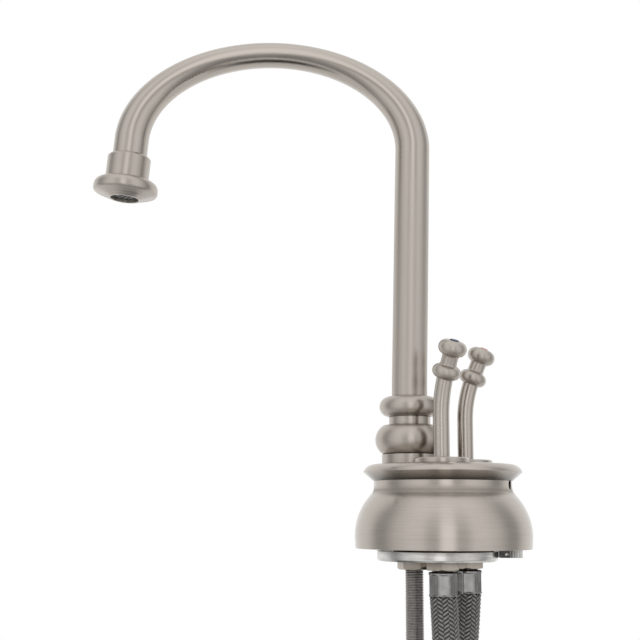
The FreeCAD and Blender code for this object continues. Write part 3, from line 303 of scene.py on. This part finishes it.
def bell_nickel():
    """Nickel brushed on the lathe, matt in the bell's crease, with painted shade under its rim."""
    shader = Shader("bell_nickel", Metallic=1.0, Anisotropic=TURNED_BLUR)
    strokes, tangent = turned_strokes(shader, middle("base_bell"))
    height = shader.height()
    # Painted shade under the rim: faces that look down darken, most by the neck
    upward = shader.split(shader.add("NewGeometry").outputs["Normal"])[2]
    under_rim = shader.math("LESS_THAN", upward, RIM_FACING)
    shade = shader.ramp(height, RIM_FOOT, RIM_EDGE, RIM_SHADE, 1.0)
    off_crease = shader.math("ABSOLUTE", shader.math("SUBTRACT", height, CREASE_HEIGHT))
    plain = shader.ramp(off_crease, 0.0, CREASE_REACH, 0.0, 1.0)
    roughness = shader.mix(plain, CREASE_ROUGH, shader.between(strokes, *BRUSHED_ROUGH))
    nickel_finish(shader, strokes, tangent, roughness, painted_shade=shader.mix(under_rim, 1.0, shade))
    return shader.material


# How far a lever's knobs lean, in degrees, how far below its cap they begin, and how rough the rod
# and they are
LEVER_LEAN = 22.0
KNOBS_DROP = 16.3 * MM
ROD_ROUGH = (0.22, 0.25)
KNOB_ROUGH = (0.33, 0.38)


def lever_nickel(side):
    """Nickel brushed round a lever's upright rod, and round its leaning knobs above that."""
    shader = Shader(f"{side}_lever_nickel", Metallic=1.0, Anisotropic=0.75)
    foot = middle(f"{side}_lever_plate")
    tip = middle(f"{side}_cap")
    heading = math.degrees(math.atan2(tip.y - foot.y, tip.x - foot.x))
    rod_strokes, rod_way = turned_strokes(shader, foot)
    knob_strokes, knob_way = turned_strokes(shader, tip, LEVER_LEAN, heading)
    on_knobs = shader.math("GREATER_THAN", shader.height(), tip.z - KNOBS_DROP)
    strokes = shader.mix(on_knobs, rod_strokes, knob_strokes)
    tangent = shader.mix(on_knobs, rod_way, knob_way, "VECTOR")
    roughness = shader.mix(on_knobs, shader.between(rod_strokes, *ROD_ROUGH),
                           shader.between(knob_strokes, *KNOB_ROUGH))
    nickel_finish(shader, strokes, tangent, roughness, strength=0.01)
    return shader.material


# The gooseneck's arch: its half span and rise, the height of its middle, and how far the riser
# stands from the post's middle
ARCH_HALF_SPAN = 65.8 * MM
ARCH_RISE = 45.2 * MM
ARCH_HEIGHT = 187.75 * MM
RISER_SHIFT = 2.3 * MM
# The riser is brushed more coarsely than the arch
RISER_ROUGH = (0.28, 0.35)
ARCH_ROUGH = (0.15, 0.21)
# How fine the strokes are across the gooseneck, and how often they change along it
DRAWN_FINE = 1100.0
DRAWN_LENGTH = 22.0


def spout_nickel():
    """Nickel brushed along the gooseneck, up its riser and round its arch."""
    shader = Shader("spout_nickel", Metallic=1.0, Anisotropic=0.55)
    hub = middle("spout_post")
    oval = ARCH_HALF_SPAN / ARCH_RISE
    arch = (hub.x + RISER_SHIFT - ARCH_HALF_SPAN, hub.y, ARCH_HEIGHT)
    x, y, z = shader.split(shader.local(arch))
    above = shader.math("MULTIPLY", shader.math("MAXIMUM", z, 0.0), oval)
    out = shader.vector("LENGTH", shader.join(x, 0.0, above), out="Value")
    spot = shader.join(shader.math("MULTIPLY", out, DRAWN_FINE),
                       shader.math("MULTIPLY", y, DRAWN_FINE),
                       shader.math("MULTIPLY", shader.math("ADD", x, z), DRAWN_LENGTH))
    strokes = shader.noise(spot, detail=4.0, roughness=0.6)
    tangent = shader.join(shader.math("MULTIPLY", above, -1.0), 0.0,
                          shader.math("MULTIPLY", x, 1 / oval))
    onto_arch = shader.ramp(z, -ARCH_RISE, 0.0, 0.0, 1.0)
    roughness = shader.mix(onto_arch, shader.between(strokes, *RISER_ROUGH),
                           shader.between(strokes, *ARCH_ROUGH))
    nickel_finish(shader, strokes, shader.vector("NORMALIZE", tangent), roughness)
    return shader.material


# Other metals, rubber and plastic

ZINC_DARK = (0.40, 0.39, 0.375)
ZINC = (0.58, 0.57, 0.55)
ZINC_LIGHT = (0.72, 0.71, 0.69)
# How much of the zinc's tone comes from flow marks, and not from turning
ZINC_FLOW = 0.35


def cast_zinc():
    """Bright die-cast zinc, turned smooth, with faint flow marks and a fine grain."""
    shader = Shader("cast_zinc", Metallic=1.0)
    flow = shader.noise(shader.place(), scale=160.0, detail=3.0)
    strokes, _ = turned_strokes(shader, middle("base_plate"))
    tone = shader.mix(ZINC_FLOW, strokes, flow)
    colour = shader.tint(tone, (0.35, ZINC_DARK), (0.5, ZINC), (0.62, ZINC_LIGHT))
    # Painted shade darkens the zinc in crevices, such as the gap between the bell and the plate
    shader.set("Base Color", shader.with_painted_crevice_shade(colour, reach=5.0 * MM, depth=0.12))
    shader.set("Roughness", shader.between(flow, 0.14, 0.26))
    shader.bump(tone, strength=0.25, depth=0.1 * MM, edge=0.3 * MM)
    return shader.material


# How the clip's tone goes: over what length from its outer end a painted shadow sets in, and with
# ribs of what spacing
CLIP_REACH = 8.3 * MM
CLIP_RIB = 1.15 * MM
CLIP_WAVES = 0.09
CLIP_LIGHT = (0.62, 0.61, 0.59)
CLIP_HALF_SHADOW = (0.36, 0.35, 0.33)
CLIP_PAINTED_SHADOW = (0.08, 0.077, 0.073)


def ribbed_zinc():
    """The clip's zinc, with a painted shadow where it leaves the plate, and ribbed at its outer end.
    """
    shader = Shader("ribbed_zinc", Metallic=1.0)
    outer_end = box_of("bell_clip")[1].x
    inward = shader.math("SUBTRACT", outer_end, shader.split(shader.place())[0])
    ribs = shader.math("SINE", shader.math("MULTIPLY", inward, 2 * math.pi / CLIP_RIB))
    stain = shader.noise(shader.place(), scale=700.0, detail=3.0)
    unevenness = shader.math("ADD", ribs, shader.between(stain, -1.0, 1.0))
    # A painted shadow darkens the clip inward from its outer end, with ribs and stains on top
    tone = shader.math("ADD", shader.math("MULTIPLY", inward, 1 / CLIP_REACH),
                       shader.math("MULTIPLY", unevenness, CLIP_WAVES))
    colour = shader.tint(tone, (0.15, CLIP_LIGHT), (0.45, CLIP_HALF_SHADOW), (0.7, CLIP_PAINTED_SHADOW))
    shader.set("Base Color", colour)
    shader.set("Roughness", shader.between(stain, 0.25, 0.4))
    shader.bump(ribs, strength=0.4, depth=0.15 * MM, edge=0.2 * MM)
    return shader.material


# How much shorter tool marks are in height than across
MARKS_SHORTER = 5.0


def machined(name, dark, light, rough=(0.22, 0.38)):
    """Plain machined metal with short tool marks and a faint change of tone."""
    shader = Shader(name, Metallic=1.0)
    x, y, z = shader.split(shader.place())
    spot = shader.join(x, y, shader.math("MULTIPLY", z, MARKS_SHORTER))
    marks = shader.noise(spot, scale=900.0, detail=3.0)
    stain = shader.noise(shader.place(), scale=190.0, detail=3.0)
    colour = shader.tint(stain, (0.32, dark), (0.68, light))
    # Painted shade darkens the metal in crevices
    shader.set("Base Color", shader.with_painted_crevice_shade(colour, reach=6.0 * MM, depth=0.06))
    shader.set("Roughness", shader.between(marks, *rough))
    shader.bump(marks, strength=0.12, depth=0.03 * MM, edge=0.2 * MM)
    return shader.material


def rubber():
    """Black seal rubber with a fine speck."""
    shader = Shader("seal_rubber", Specular_IOR_Level=0.35)
    speck = shader.noise(shader.place(), scale=1800.0, detail=3.0)
    colour = shader.tint(speck, (0.3, (0.012, 0.012, 0.013)), (0.7, (0.03, 0.03, 0.031)))
    shader.set("Base Color", colour)
    shader.set("Roughness", shader.between(speck, 0.5, 0.72))
    shader.bump(speck, strength=0.2, depth=0.03 * MM)
    return shader.material


def moulded(name, dark, light):
    """Moulded plastic with a faint flow of its colour and a fine skin."""
    shader = Shader(name)
    flow = shader.noise(shader.place(), scale=420.0)
    skin = shader.noise(shader.place(), scale=3200.0)
    shader.set("Base Color", shader.tint(flow, (0.3, dark), (0.7, light)))
    shader.set("Roughness", shader.between(skin, 0.2, 0.34))
    shader.bump(skin, strength=0.1, depth=0.02 * MM, edge=0.15 * MM)
    return shader.material


BRAID_WIRES = 5
# What the hoses' steel mirrors at its edges
HOSE_EDGE = (0.25, 0.25, 0.25, 1)


def braid_steel():
    """Stainless wire: each strand of the braid is a flat bundle of wires side by side."""
    shader = Shader("braid_steel", Metallic=1.0, Specular_Tint=HOSE_EDGE)
    across = shader.split(shader.add("TexCoord").outputs["UV"])[1]
    wires = shader.math("SINE", shader.math("MULTIPLY", across, BRAID_WIRES * 2 * math.pi))
    wear = shader.noise(shader.place(), scale=1500.0, detail=3.0)
    colour = shader.tint(wear, (0.3, (0.27, 0.265, 0.26)), (0.7, (0.43, 0.42, 0.41)))
    # Painted shade darkens the braid in crevices and between the hoses
    shader.set("Base Color", shader.with_painted_crevice_shade(colour, reach=9.0 * MM, depth=0.1))
    shader.set("Roughness", shader.between(wear, 0.3, 0.46))
    shader.bump(wires, strength=0.3, depth=0.05 * MM)
    return shader.material


# How much slower the sleeves' drawing marks change in height than across
MARKS_LONGER = 0.06


def crimped_steel():
    """Stainless sheet drawn into a sleeve, with marks along its length."""
    shader = Shader("crimped_steel", Metallic=1.0, Specular_Tint=HOSE_EDGE)
    x, y, z = shader.split(shader.place())
    spot = shader.join(x, y, shader.math("MULTIPLY", z, MARKS_LONGER))
    marks = shader.noise(spot, scale=1700.0, detail=4.0)
    stain = shader.noise(shader.place(), scale=350.0, detail=3.0)
    tone = shader.mix(0.5, marks, stain)
    colour = shader.tint(tone, (0.32, (0.22, 0.215, 0.21)), (0.68, (0.37, 0.36, 0.35)))
    # Painted shade darkens the sleeve in crevices
    shader.set("Base Color", shader.with_painted_crevice_shade(colour, reach=9.0 * MM, depth=0.08))
    shader.set("Roughness", shader.between(marks, 0.2, 0.34))
    shader.bump(marks, strength=0.14, depth=0.04 * MM)
    return shader.material


def dark_hose():
    """The hose's grey core, which shows between the strands."""
    shader = Shader("hose_core")
    speck = shader.noise(shader.place(), scale=900.0)
    colour = shader.tint(speck, (0.3, (0.045, 0.044, 0.042)), (0.7, (0.085, 0.082, 0.08)))
    shader.set("Base Color", colour)
    shader.set("Roughness", shader.between(speck, 0.5, 0.7))
    return shader.material


def thread_steel():
    """Zinc-plated threaded rod, with painted shade in its roots."""
    shader = Shader("thread_steel", Metallic=1.0)
    stain = shader.noise(shader.place(), scale=500.0, detail=4.0, roughness=0.6)
    colour = shader.tint(stain, (0.3, (0.24, 0.225, 0.215)), (0.7, (0.36, 0.34, 0.325)))
    # Painted shade darkens the thread's roots
    shader.set("Base Color", shader.with_painted_crevice_shade(colour, reach=6.0 * MM, depth=0.15))
    shader.set("Roughness", shader.between(stain, 0.34, 0.48))
    shader.bump(stain, strength=0.12, depth=0.04 * MM)
    return shader.material


def dress(node, material):
    """Gives a node of the frame a finish."""
    for slot in NODES[node].material_slots:
        slot.material = material


def dress_nodes():
    """Gives each node its finish, and returns the finishes by material slot."""
    by_slot = {
        "zinc": cast_zinc(),
        "brass": machined("machined_brass", dark=(0.52, 0.36, 0.15), light=(0.66, 0.48, 0.22)),
        "fitting_metal": machined("plated_brass", dark=(0.33, 0.292, 0.25),
                                  light=(0.45, 0.405, 0.355), rough=(0.08, 0.18)),
        "steel": machined("plain_steel", dark=(0.34, 0.33, 0.32), light=(0.48, 0.47, 0.455)),
        "ferrule_steel": crimped_steel(),
        "braid": braid_steel(),
        "seal_rubber": rubber(),
        "flow_plastic": moulded("flow_plastic", dark=(0.012, 0.012, 0.013),
                                light=(0.03, 0.03, 0.032)),
        "blue_cap": moulded("blue_cap", dark=(0.012, 0.018, 0.06), light=(0.022, 0.034, 0.10)),
        "red_cap": moulded("red_cap", dark=(0.42, 0.035, 0.03), light=(0.55, 0.06, 0.05)),
    }
    for subpart in frame["record"]["subparts"]:
        if subpart["material_slot"] in by_slot:
            dress(subpart["node"], by_slot[subpart["material_slot"]])
    dress("base_bell", bell_nickel())
    for node in ("spout_post", "spout_collar", "swivel_ring"):
        dress(node, turned_nickel(f"{node}_nickel", middle(node), rough=POST_ROUGH))
    for side in SIDES:
        plate = f"{side}_lever_plate"
        dress(plate, turned_nickel(f"{side}_plate_nickel", middle(plate)))
        dress(f"{side}_lever", lever_nickel(side))
    outlet = middle("aerator_housing")
    for node in ("nozzle_collar", "aerator_housing"):
        dress(node, turned_nickel(f"{node}_nickel", outlet, NOZZLE_TILT, NOZZLE_ROUGH))
    dress("spout_tube", spout_nickel())
    dress("bell_clip", ribbed_zinc())
    return by_slot


# Pieces

def mesh_piece(name, corners, faces, materials):
    """A smooth mesh that rides on the base."""
    mesh = bpy.data.meshes.new(name)
    mesh.from_pydata(corners, [], faces)
    mesh.validate()
    mesh.polygons.foreach_set("use_smooth", [True] * len(mesh.polygons))
    for material in materials:
        mesh.materials.append(material)
    piece = bpy.data.objects.new(name, mesh)
    bpy.context.collection.objects.link(piece)
    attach(piece, "base")
    return piece


def on_circle(centre, radius, angle, height):
    """A point on a level circle."""
    return (centre.x + radius * math.cos(angle), centre.y + radius * math.sin(angle), height)


def faces_between(row, next_row, around):
    """Faces from one row of corners that goes round an axis to another."""
    here, there = row * around, next_row * around
    for step in range(around):
        after = (step + 1) % around
        yield here + step, here + after, there + after, there + step


def closed_rows(rows, around):
    """Faces along rows of corners that go round an axis, with both ends closed."""
    faces = [face for row in range(rows - 1) for face in faces_between(row, row + 1, around)]
    faces.append(tuple(range(around))[::-1])
    faces.append(tuple(range((rows - 1) * around, rows * around)))
    return faces


STUD_PITCH = 1.1 * MM
STUD_DEPTH = 0.3 * MM
STUD_STEPS = 10
STUD_SIDES = 48
# The stud's plain end, from the lock nut up
STUD_END_RADIUS = 3.45 * MM
# How steep a thread's flanks are, and how far its root cuts them off
THREAD_SLOPE = 3.4
THREAD_ROOT = 0.25


def thread_height(turn):
    """The height of a thread's profile, from 0 in its root to 1 on its crest, over one pitch."""
    share = turn % 1.0
    return min(1.0, max(0.0, THREAD_SLOPE * (0.5 - abs(share - 0.5)) - THREAD_ROOT))


def threaded_stud(material):
    """The mounting stud with its thread, which ends at the lock nut."""
    low, high = box_of("mounting_stud")
    centre = (low + high) / 2
    crest = (high.x - low.x) / 2
    nut_foot = foot_of("stud_lock_nut").z
    step = STUD_PITCH / STUD_STEPS
    heights = [low.z + step * number for number in range(int((nut_foot - low.z) / step) + 1)]
    turns = [side / STUD_SIDES for side in range(STUD_SIDES)]
    corners = []
    for height in heights:
        worn = min(1.0, (height - low.z) / STUD_PITCH)
        for turn in turns:
            rise = thread_height((height - low.z) / STUD_PITCH - turn) * worn
            radius = crest - STUD_DEPTH * (1 - rise)
            corners.append(on_circle(centre, radius, 2 * math.pi * turn, height))
    for height in (nut_foot, high.z):
        for turn in turns:
            corners.append(on_circle(centre, STUD_END_RADIUS, 2 * math.pi * turn, height))
    faces = closed_rows(len(heights) + 2, STUD_SIDES)
    piece = mesh_piece("threaded_stud", corners, faces, [material])
    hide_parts("mounting_stud")


SLEEVE_SIDES = 144
SLEEVE_FLATS = 8
SLEEVE_BORE = 4.7 * MM
FLAT_DEPTH = 0.42 * MM
TOP_FLAT_TURN = -92.0
END_FLAT_TURN = -60.0
# Shares of a sleeve's length, from its lip: where the flats begin and end, and how long the lip is
FLAT_TOP = (0.1, 0.15)
FLAT_FOOT = (0.9, 1.0)
LIP_SHARE = 0.05
LIP_DEPTH = 0.5 * MM
# The rows of a sleeve's corners, which lie closer over its first share
CLOSE_SHARE = 0.25
CLOSE_ROWS = 36
WIDE_ROWS = 30


def eased(value, low, high):
    """A step that eases from 0 at the low value to 1 at the high one."""
    share = min(1.0, max(0.0, (value - low) / (high - low)))
    return share * share * (3 - 2 * share)


def sleeve_radius(radius, share, turn, flat_turn):
    """A crimped sleeve's radius at a share of its length, and at a turn in degrees."""
    pitch = 360 / SLEEVE_FLATS
    off = (turn - flat_turn + pitch / 2) % pitch - pitch / 2
    flat = (radius - FLAT_DEPTH) / math.cos(math.radians(off))
    pressed = eased(share, *FLAT_TOP) * (1 - eased(share, *FLAT_FOOT))
    lip = max(0.0, (LIP_SHARE - share) / LIP_SHARE) ** 2 * LIP_DEPTH
    return radius - max(0.0, radius - flat) * pressed - lip


def crimped_sleeve(name, node, material, flat_turn, upside_down=False):
    """A hose sleeve with a rolled lip, crimped to flats between two round ends."""
    low, high = box_of(node)
    centre = (low + high) / 2
    radius = (high.x - low.x) / 2
    shares = [CLOSE_SHARE * number / CLOSE_ROWS for number in range(CLOSE_ROWS)]
    shares += [CLOSE_SHARE + (1 - CLOSE_SHARE) * number / WIDE_ROWS
               for number in range(WIDE_ROWS + 1)]
    rows = [(share, None) for share in shares] + [(1.0, SLEEVE_BORE), (0.0, SLEEVE_BORE)]
    corners = []
    for share, fixed in rows:
        height = low.z + (high.z - low.z) * (share if upside_down else 1 - share)
        for side in range(SLEEVE_SIDES):
            turn = 360 * side / SLEEVE_SIDES
            out = fixed or sleeve_radius(radius, share, turn, flat_turn)
            corners.append(on_circle(centre, out, math.radians(turn), height))
    faces = []
    for row in range(len(rows)):
        for face in faces_between(row, (row + 1) % len(rows), SLEEVE_SIDES):
            faces.append(face if upside_down else face[::-1])
    piece = mesh_piece(name, corners, faces, [material])
    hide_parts(node)
    return piece


SPRING_WIRE = 0.6 * MM
SPRING_TURNS = 4
SPRING_STEPS = 32
WIRE_SIDES = 10


def coil_spring(side, material):
    """A valve spring, coiled in its node's box."""
    node = f"{side}_valve_spring"
    low, high = box_of(node)
    foot = foot_of(node)
    wire = SPRING_WIRE / 2
    radius = (high.x - low.x) / 2 - wire
    height = high.z - low.z
    up = Vector((0, 0, 1))
    steps = SPRING_TURNS * SPRING_STEPS
    corners = []
    for step in range(steps + 1):
        turn = 2 * math.pi * step / SPRING_STEPS
        out = Vector((math.cos(turn), math.sin(turn), 0))
        spot = foot + out * radius + up * (wire + (height - SPRING_WIRE) * step / steps)
        for number in range(WIRE_SIDES):
            angle = 2 * math.pi * number / WIRE_SIDES
            corners.append(spot + (out * math.cos(angle) - up * math.sin(angle)) * wire)
    faces = closed_rows(steps + 1, WIRE_SIDES)
    piece = mesh_piece(f"{side}_spring_coil", corners, faces, [material])
    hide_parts(node)
    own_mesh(piece)


# Hoses: the points that each hangs along, in millimetres from its upper ferrule's lower face
ROUTES = {
    "cold": [(0, 0, 0), (0.2, 0, -4), (0.7, 0, -14), (1.5, 0, -38), (3, -1, -82), (8, -2, -135),
             (13, 0, -190), (15, 4, -245), (13, 8, -298), (11, 9, -342), (11, 9, -380)],
    "hot": [(0, 0, 0), (-0.3, 0, -4), (-1, 0, -14), (-2.8, 0, -34), (-6, 1, -76), (-11, 3, -128),
            (-13, 7, -182), (-11, 12, -236), (-7, 15, -288), (-5, 16, -335), (-5, 16, -375)],
}
SPLINE_STEPS = 24
CORE_RADIUS = 5.25 * MM
CORE_SIDES = 28
# The braid: its columns of strands round the hose, and how strands are spaced, slanted and offset
CREST_RADIUS = 5.85 * MM
BRAID_COLUMNS = 14
BRAID_SPACING = 1.75 * MM
BRAID_SLOPE = 0.58
BRAID_STAGGER = 0.25
# A strand: its width, how far its ends dip, and how far its edges go below the core's face
STRAND_WIDTH = 1.42 * MM
STRAND_DIP = 0.28 * MM
STRAND_EDGE = 0.1 * MM
STRAND_STEPS = 6
STRAND_RIBS = 4


def spline_points(name, route):
    """The points of the smooth line that a route's points control."""
    curve = bpy.data.curves.new(name, "CURVE")
    curve.dimensions = "3D"
    curve.resolution_u = SPLINE_STEPS
    spline = curve.splines.new("NURBS")
    spline.points.add(len(route) - 1)
    for point, spot in zip(spline.points, route):
        point.co = (*spot, 1.0)
    spline.order_u = 3
    spline.use_endpoint_u = True
    carrier = bpy.data.objects.new(name, curve)
    mesh = bpy.data.meshes.new_from_object(carrier)
    points = [corner.co.copy() for corner in mesh.vertices]
    bpy.data.objects.remove(carrier)
    bpy.data.curves.remove(curve)
    bpy.data.meshes.remove(mesh)
    return points


class Line:
    """A line through points, with a direction and a side at every distance along it."""

    def __init__(self, points):
        self.points = points
        self.reach = [0.0]
        self.ways = []
        self.sides = []
        side = Vector((1, 0, 0))
        for here, there in zip(points, points[1:]):
            way = (there - here).normalized()
            side = (side - way * side.dot(way)).normalized()
            self.reach.append(self.reach[-1] + (there - here).length)
            self.ways.append(way)
            self.sides.append(side)
        self.length = self.reach[-1]

    def spot(self, distance, turn, radius):
        """The point at a distance along the line, out from it by a radius at a turn."""
        last = len(self.ways) - 1
        run = min(max(bisect.bisect_right(self.reach, distance) - 1, 0), last)
        beyond = distance - self.reach[run]
        way, side = self.ways[run], self.sides[run]
        if run < last:
            share = min(1.0, max(0.0, beyond / (self.reach[run + 1] - self.reach[run])))
            way = way.lerp(self.ways[run + 1], share).normalized()
            side = side.lerp(self.sides[run + 1], share).normalized()
        centre = self.points[run] + self.ways[run] * beyond
        return centre + (side * math.cos(turn) + way.cross(side) * math.sin(turn)) * radius


def strand_corners(line, column, row):
    """A strand's corners, each with its shares along and across the strand."""
    way = 1 if column % 2 else -1
    column_turn = 2 * math.pi / BRAID_COLUMNS
    slant = way * BRAID_SLOPE * CREST_RADIUS * column_turn
    centre = (row + 0.5 + BRAID_STAGGER * way) * BRAID_SPACING
    for step in range(STRAND_STEPS + 1):
        along = step / STRAND_STEPS
        dip = (2 * along - 1) ** 6 * STRAND_DIP
        for rib in range(STRAND_RIBS + 1):
            across = rib / STRAND_RIBS
            drop = (2 * across - 1) ** 2 * (CREST_RADIUS - CORE_RADIUS + STRAND_EDGE)
            distance = centre + slant * (along - 0.5) + (across - 0.5) * STRAND_WIDTH
            distance = min(max(distance, 0.0), line.length)
            turn = (column + along) * column_turn
            yield line.spot(distance, turn, CREST_RADIUS - dip - drop), (along, across)


def braided_hose(side, materials):
    """A hose: columns of strands that slant one way and the other, over a dark core."""
    start = foot_of(f"{side}_top_ferrule")
    route = [start + Vector(step) * MM for step in ROUTES[side]]
    points = spline_points(f"{side}_route", route)
    line = Line(points)
    corners = []
    faces = []
    uvs = []
    for column in range(BRAID_COLUMNS):
        for row in range(-1, int(line.length / BRAID_SPACING) + 1):
            first = len(corners)
            for corner, uv in strand_corners(line, column, row):
                corners.append(corner)
                uvs.append(uv)
            for step in range(STRAND_STEPS):
                for rib in range(STRAND_RIBS):
                    here = first + step * (STRAND_RIBS + 1) + rib
                    above = here + STRAND_RIBS + 1
                    faces.append((here, here + 1, above + 1, above))
    strands = len(faces)
    core = len(corners)
    for distance in line.reach:
        for number in range(CORE_SIDES):
            turn = 2 * math.pi * number / CORE_SIDES
            corners.append(line.spot(distance, turn, CORE_RADIUS))
            uvs.append((0.0, 0.0))
    for face in closed_rows(len(points), CORE_SIDES):
        faces.append(tuple(core + corner for corner in face))
    piece = mesh_piece(f"{side}_braided_hose", corners, faces, materials)
    in_core = [0] * strands + [1] * (len(faces) - strands)
    piece.data.polygons.foreach_set("material_index", in_core)
    layer = piece.data.uv_layers.new(name="strands")
    for loop in piece.data.loops:
        layer.data[loop.index].uv = uvs[loop.vertex_index]
    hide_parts(f"{side}_hose")


# Studio

FLOOR_HEIGHT = -0.45
FLOOR_RADIUS = 1.0
FLOOR_BACK = 0.85
FLOOR_SIDES = 64


def add_floor():
    """A plain pale floor."""
    shader = Shader("floor", Roughness=0.85, Specular_IOR_Level=0.2)
    shade = shader.noise(shader.place(), scale=3.0)
    colour = shader.tint(shade, (0.3, (0.86, 0.86, 0.86)), (0.7, (0.9, 0.9, 0.9)))
    shader.set("Base Color", colour)
    bpy.ops.mesh.primitive_circle_add(vertices=FLOOR_SIDES, radius=FLOOR_RADIUS, fill_type="NGON",
                                      location=(0, FLOOR_BACK, FLOOR_HEIGHT))
    floor = bpy.context.object
    floor.name = "floor"
    floor.data.materials.append(shader.material)


CARD_MIDDLE = (-0.125, 0.23, -0.44)
CARD_SIZE = (0.66, 0.46)
CARD_DARK = (0.004, 0.004, 0.004)
CARD_PALE = (0.7, 0.7, 0.7)


def add_card():
    """A card that lies behind the object, dark in its middle: a painted dark reflection, which shows
    only in the metal.
    """
    shader = Shader("dark_card", Roughness=0.9)
    x, y, _ = shader.split(shader.place())
    out = shader.vector("LENGTH", shader.join(x, y, 0.0), out="Value")
    shader.set("Base Color", shader.tint(out, (0.2, CARD_DARK), (0.5, CARD_PALE)))
    bpy.ops.mesh.primitive_plane_add(size=1.0, location=CARD_MIDDLE)
    card = bpy.context.object
    card.name = "dark_card"
    card.scale = (*CARD_SIZE, 1.0)
    card.visible_camera = False
    card.visible_diffuse = False
    card.visible_shadow = False
    card.data.materials.append(shader.material)


# How bright the light tent is, by the angle in degrees from the camera's side round to the back:
# the stripes in front, and the panels to the sides
TENT_STRIPES = ((0, 1.36), (7, 1.32), (13, 0.64), (23, 0.66), (34, 1.0), (180, 1.0))
TENT_SIDES = ((0, 1.02), (50, 1.02), (70, 0.82), (88, 0.48), (104, 0.48), (124, 0.88), (140, 1.0),
              (180, 1.0))
# How much of each shows, and how bright the tent is, by the share of its height from its foot
STRIPES_FADE = ((0.0, 0.2), (0.35, 0.8), (0.5, 1.0), (0.6, 0.85), (0.8, 0.3), (1.0, 0.0))
SIDES_FADE = ((0.0, 0.4), (0.35, 0.9), (0.5, 1.0), (0.8, 0.9), (1.0, 0.0))
TENT_HEIGHT = ((0.0, 0.3), (0.12, 0.45), (0.28, 0.92), (0.5, 1.0), (0.75, 1.0), (1.0, 1.14))
# How much of the white backdrop metal mirrors, by the share of the way round to the back
BACKDROP = ((0.55, 0.0), (0.72, 1.0))


def add_world():
    """A white light tent: brighter and darker panels round the object, and white behind it."""
    world = bpy.data.worlds.new("light_tent")
    bpy.context.scene.world = world
    world.use_nodes = True
    world.node_tree.nodes.clear()
    sky = NodeTree(world.node_tree)
    x, y, z = sky.split(sky.add("TexCoord").outputs["Generated"])
    bearing = sky.math("ABSOLUTE", sky.math("ARCTAN2", x, sky.math("MULTIPLY", y, -1.0)))
    round_share = sky.math("DIVIDE", bearing, math.pi)
    height_share = sky.math("MULTIPLY", sky.math("ADD", z, 1.0), 0.5)
    tent = sky.curve(height_share, TENT_HEIGHT)
    for panels, fade in ((TENT_STRIPES, STRIPES_FADE), (TENT_SIDES, SIDES_FADE)):
        levels = sky.curve(round_share, [(angle / 180, level) for angle, level in panels])
        shown = sky.mix(sky.curve(height_share, fade), 1.0, levels)
        tent = sky.math("MULTIPLY", tent, shown)
    paths = sky.add("LightPath").outputs
    straight = sky.math("MAXIMUM", paths["Is Camera Ray"], paths["Is Transmission Ray"])
    mirrored = sky.math("MULTIPLY", paths["Is Glossy Ray"], sky.curve(round_share, BACKDROP))
    strength = sky.mix(sky.math("MAXIMUM", straight, mirrored), tent, 1.0)
    background = sky.add("Background", {"Color": (1, 1, 1, 1), "Strength": strength})
    sky.add("OutputWorld", {"Surface": background.outputs[0]})


add_camera()
finishes = dress_nodes()
sleeve_steel = finishes["ferrule_steel"]
for side in SIDES:
    crimped_sleeve(f"{side}_top_sleeve", f"{side}_top_ferrule", sleeve_steel, TOP_FLAT_TURN)
    end_sleeve = crimped_sleeve(f"{side}_end_sleeve", f"{side}_end_ferrule", sleeve_steel,
                                END_FLAT_TURN, upside_down=True)
    coil_spring(side, finishes["steel"])
    braided_hose(side, [finishes["braid"], dark_hose()])
stud_finish = thread_steel()
dress("bell_clip_screw", stud_finish)
threaded_stud(stud_finish)
add_floor()
add_card()
add_world()
bpy.context.scene.view_settings.view_transform = "Standard"
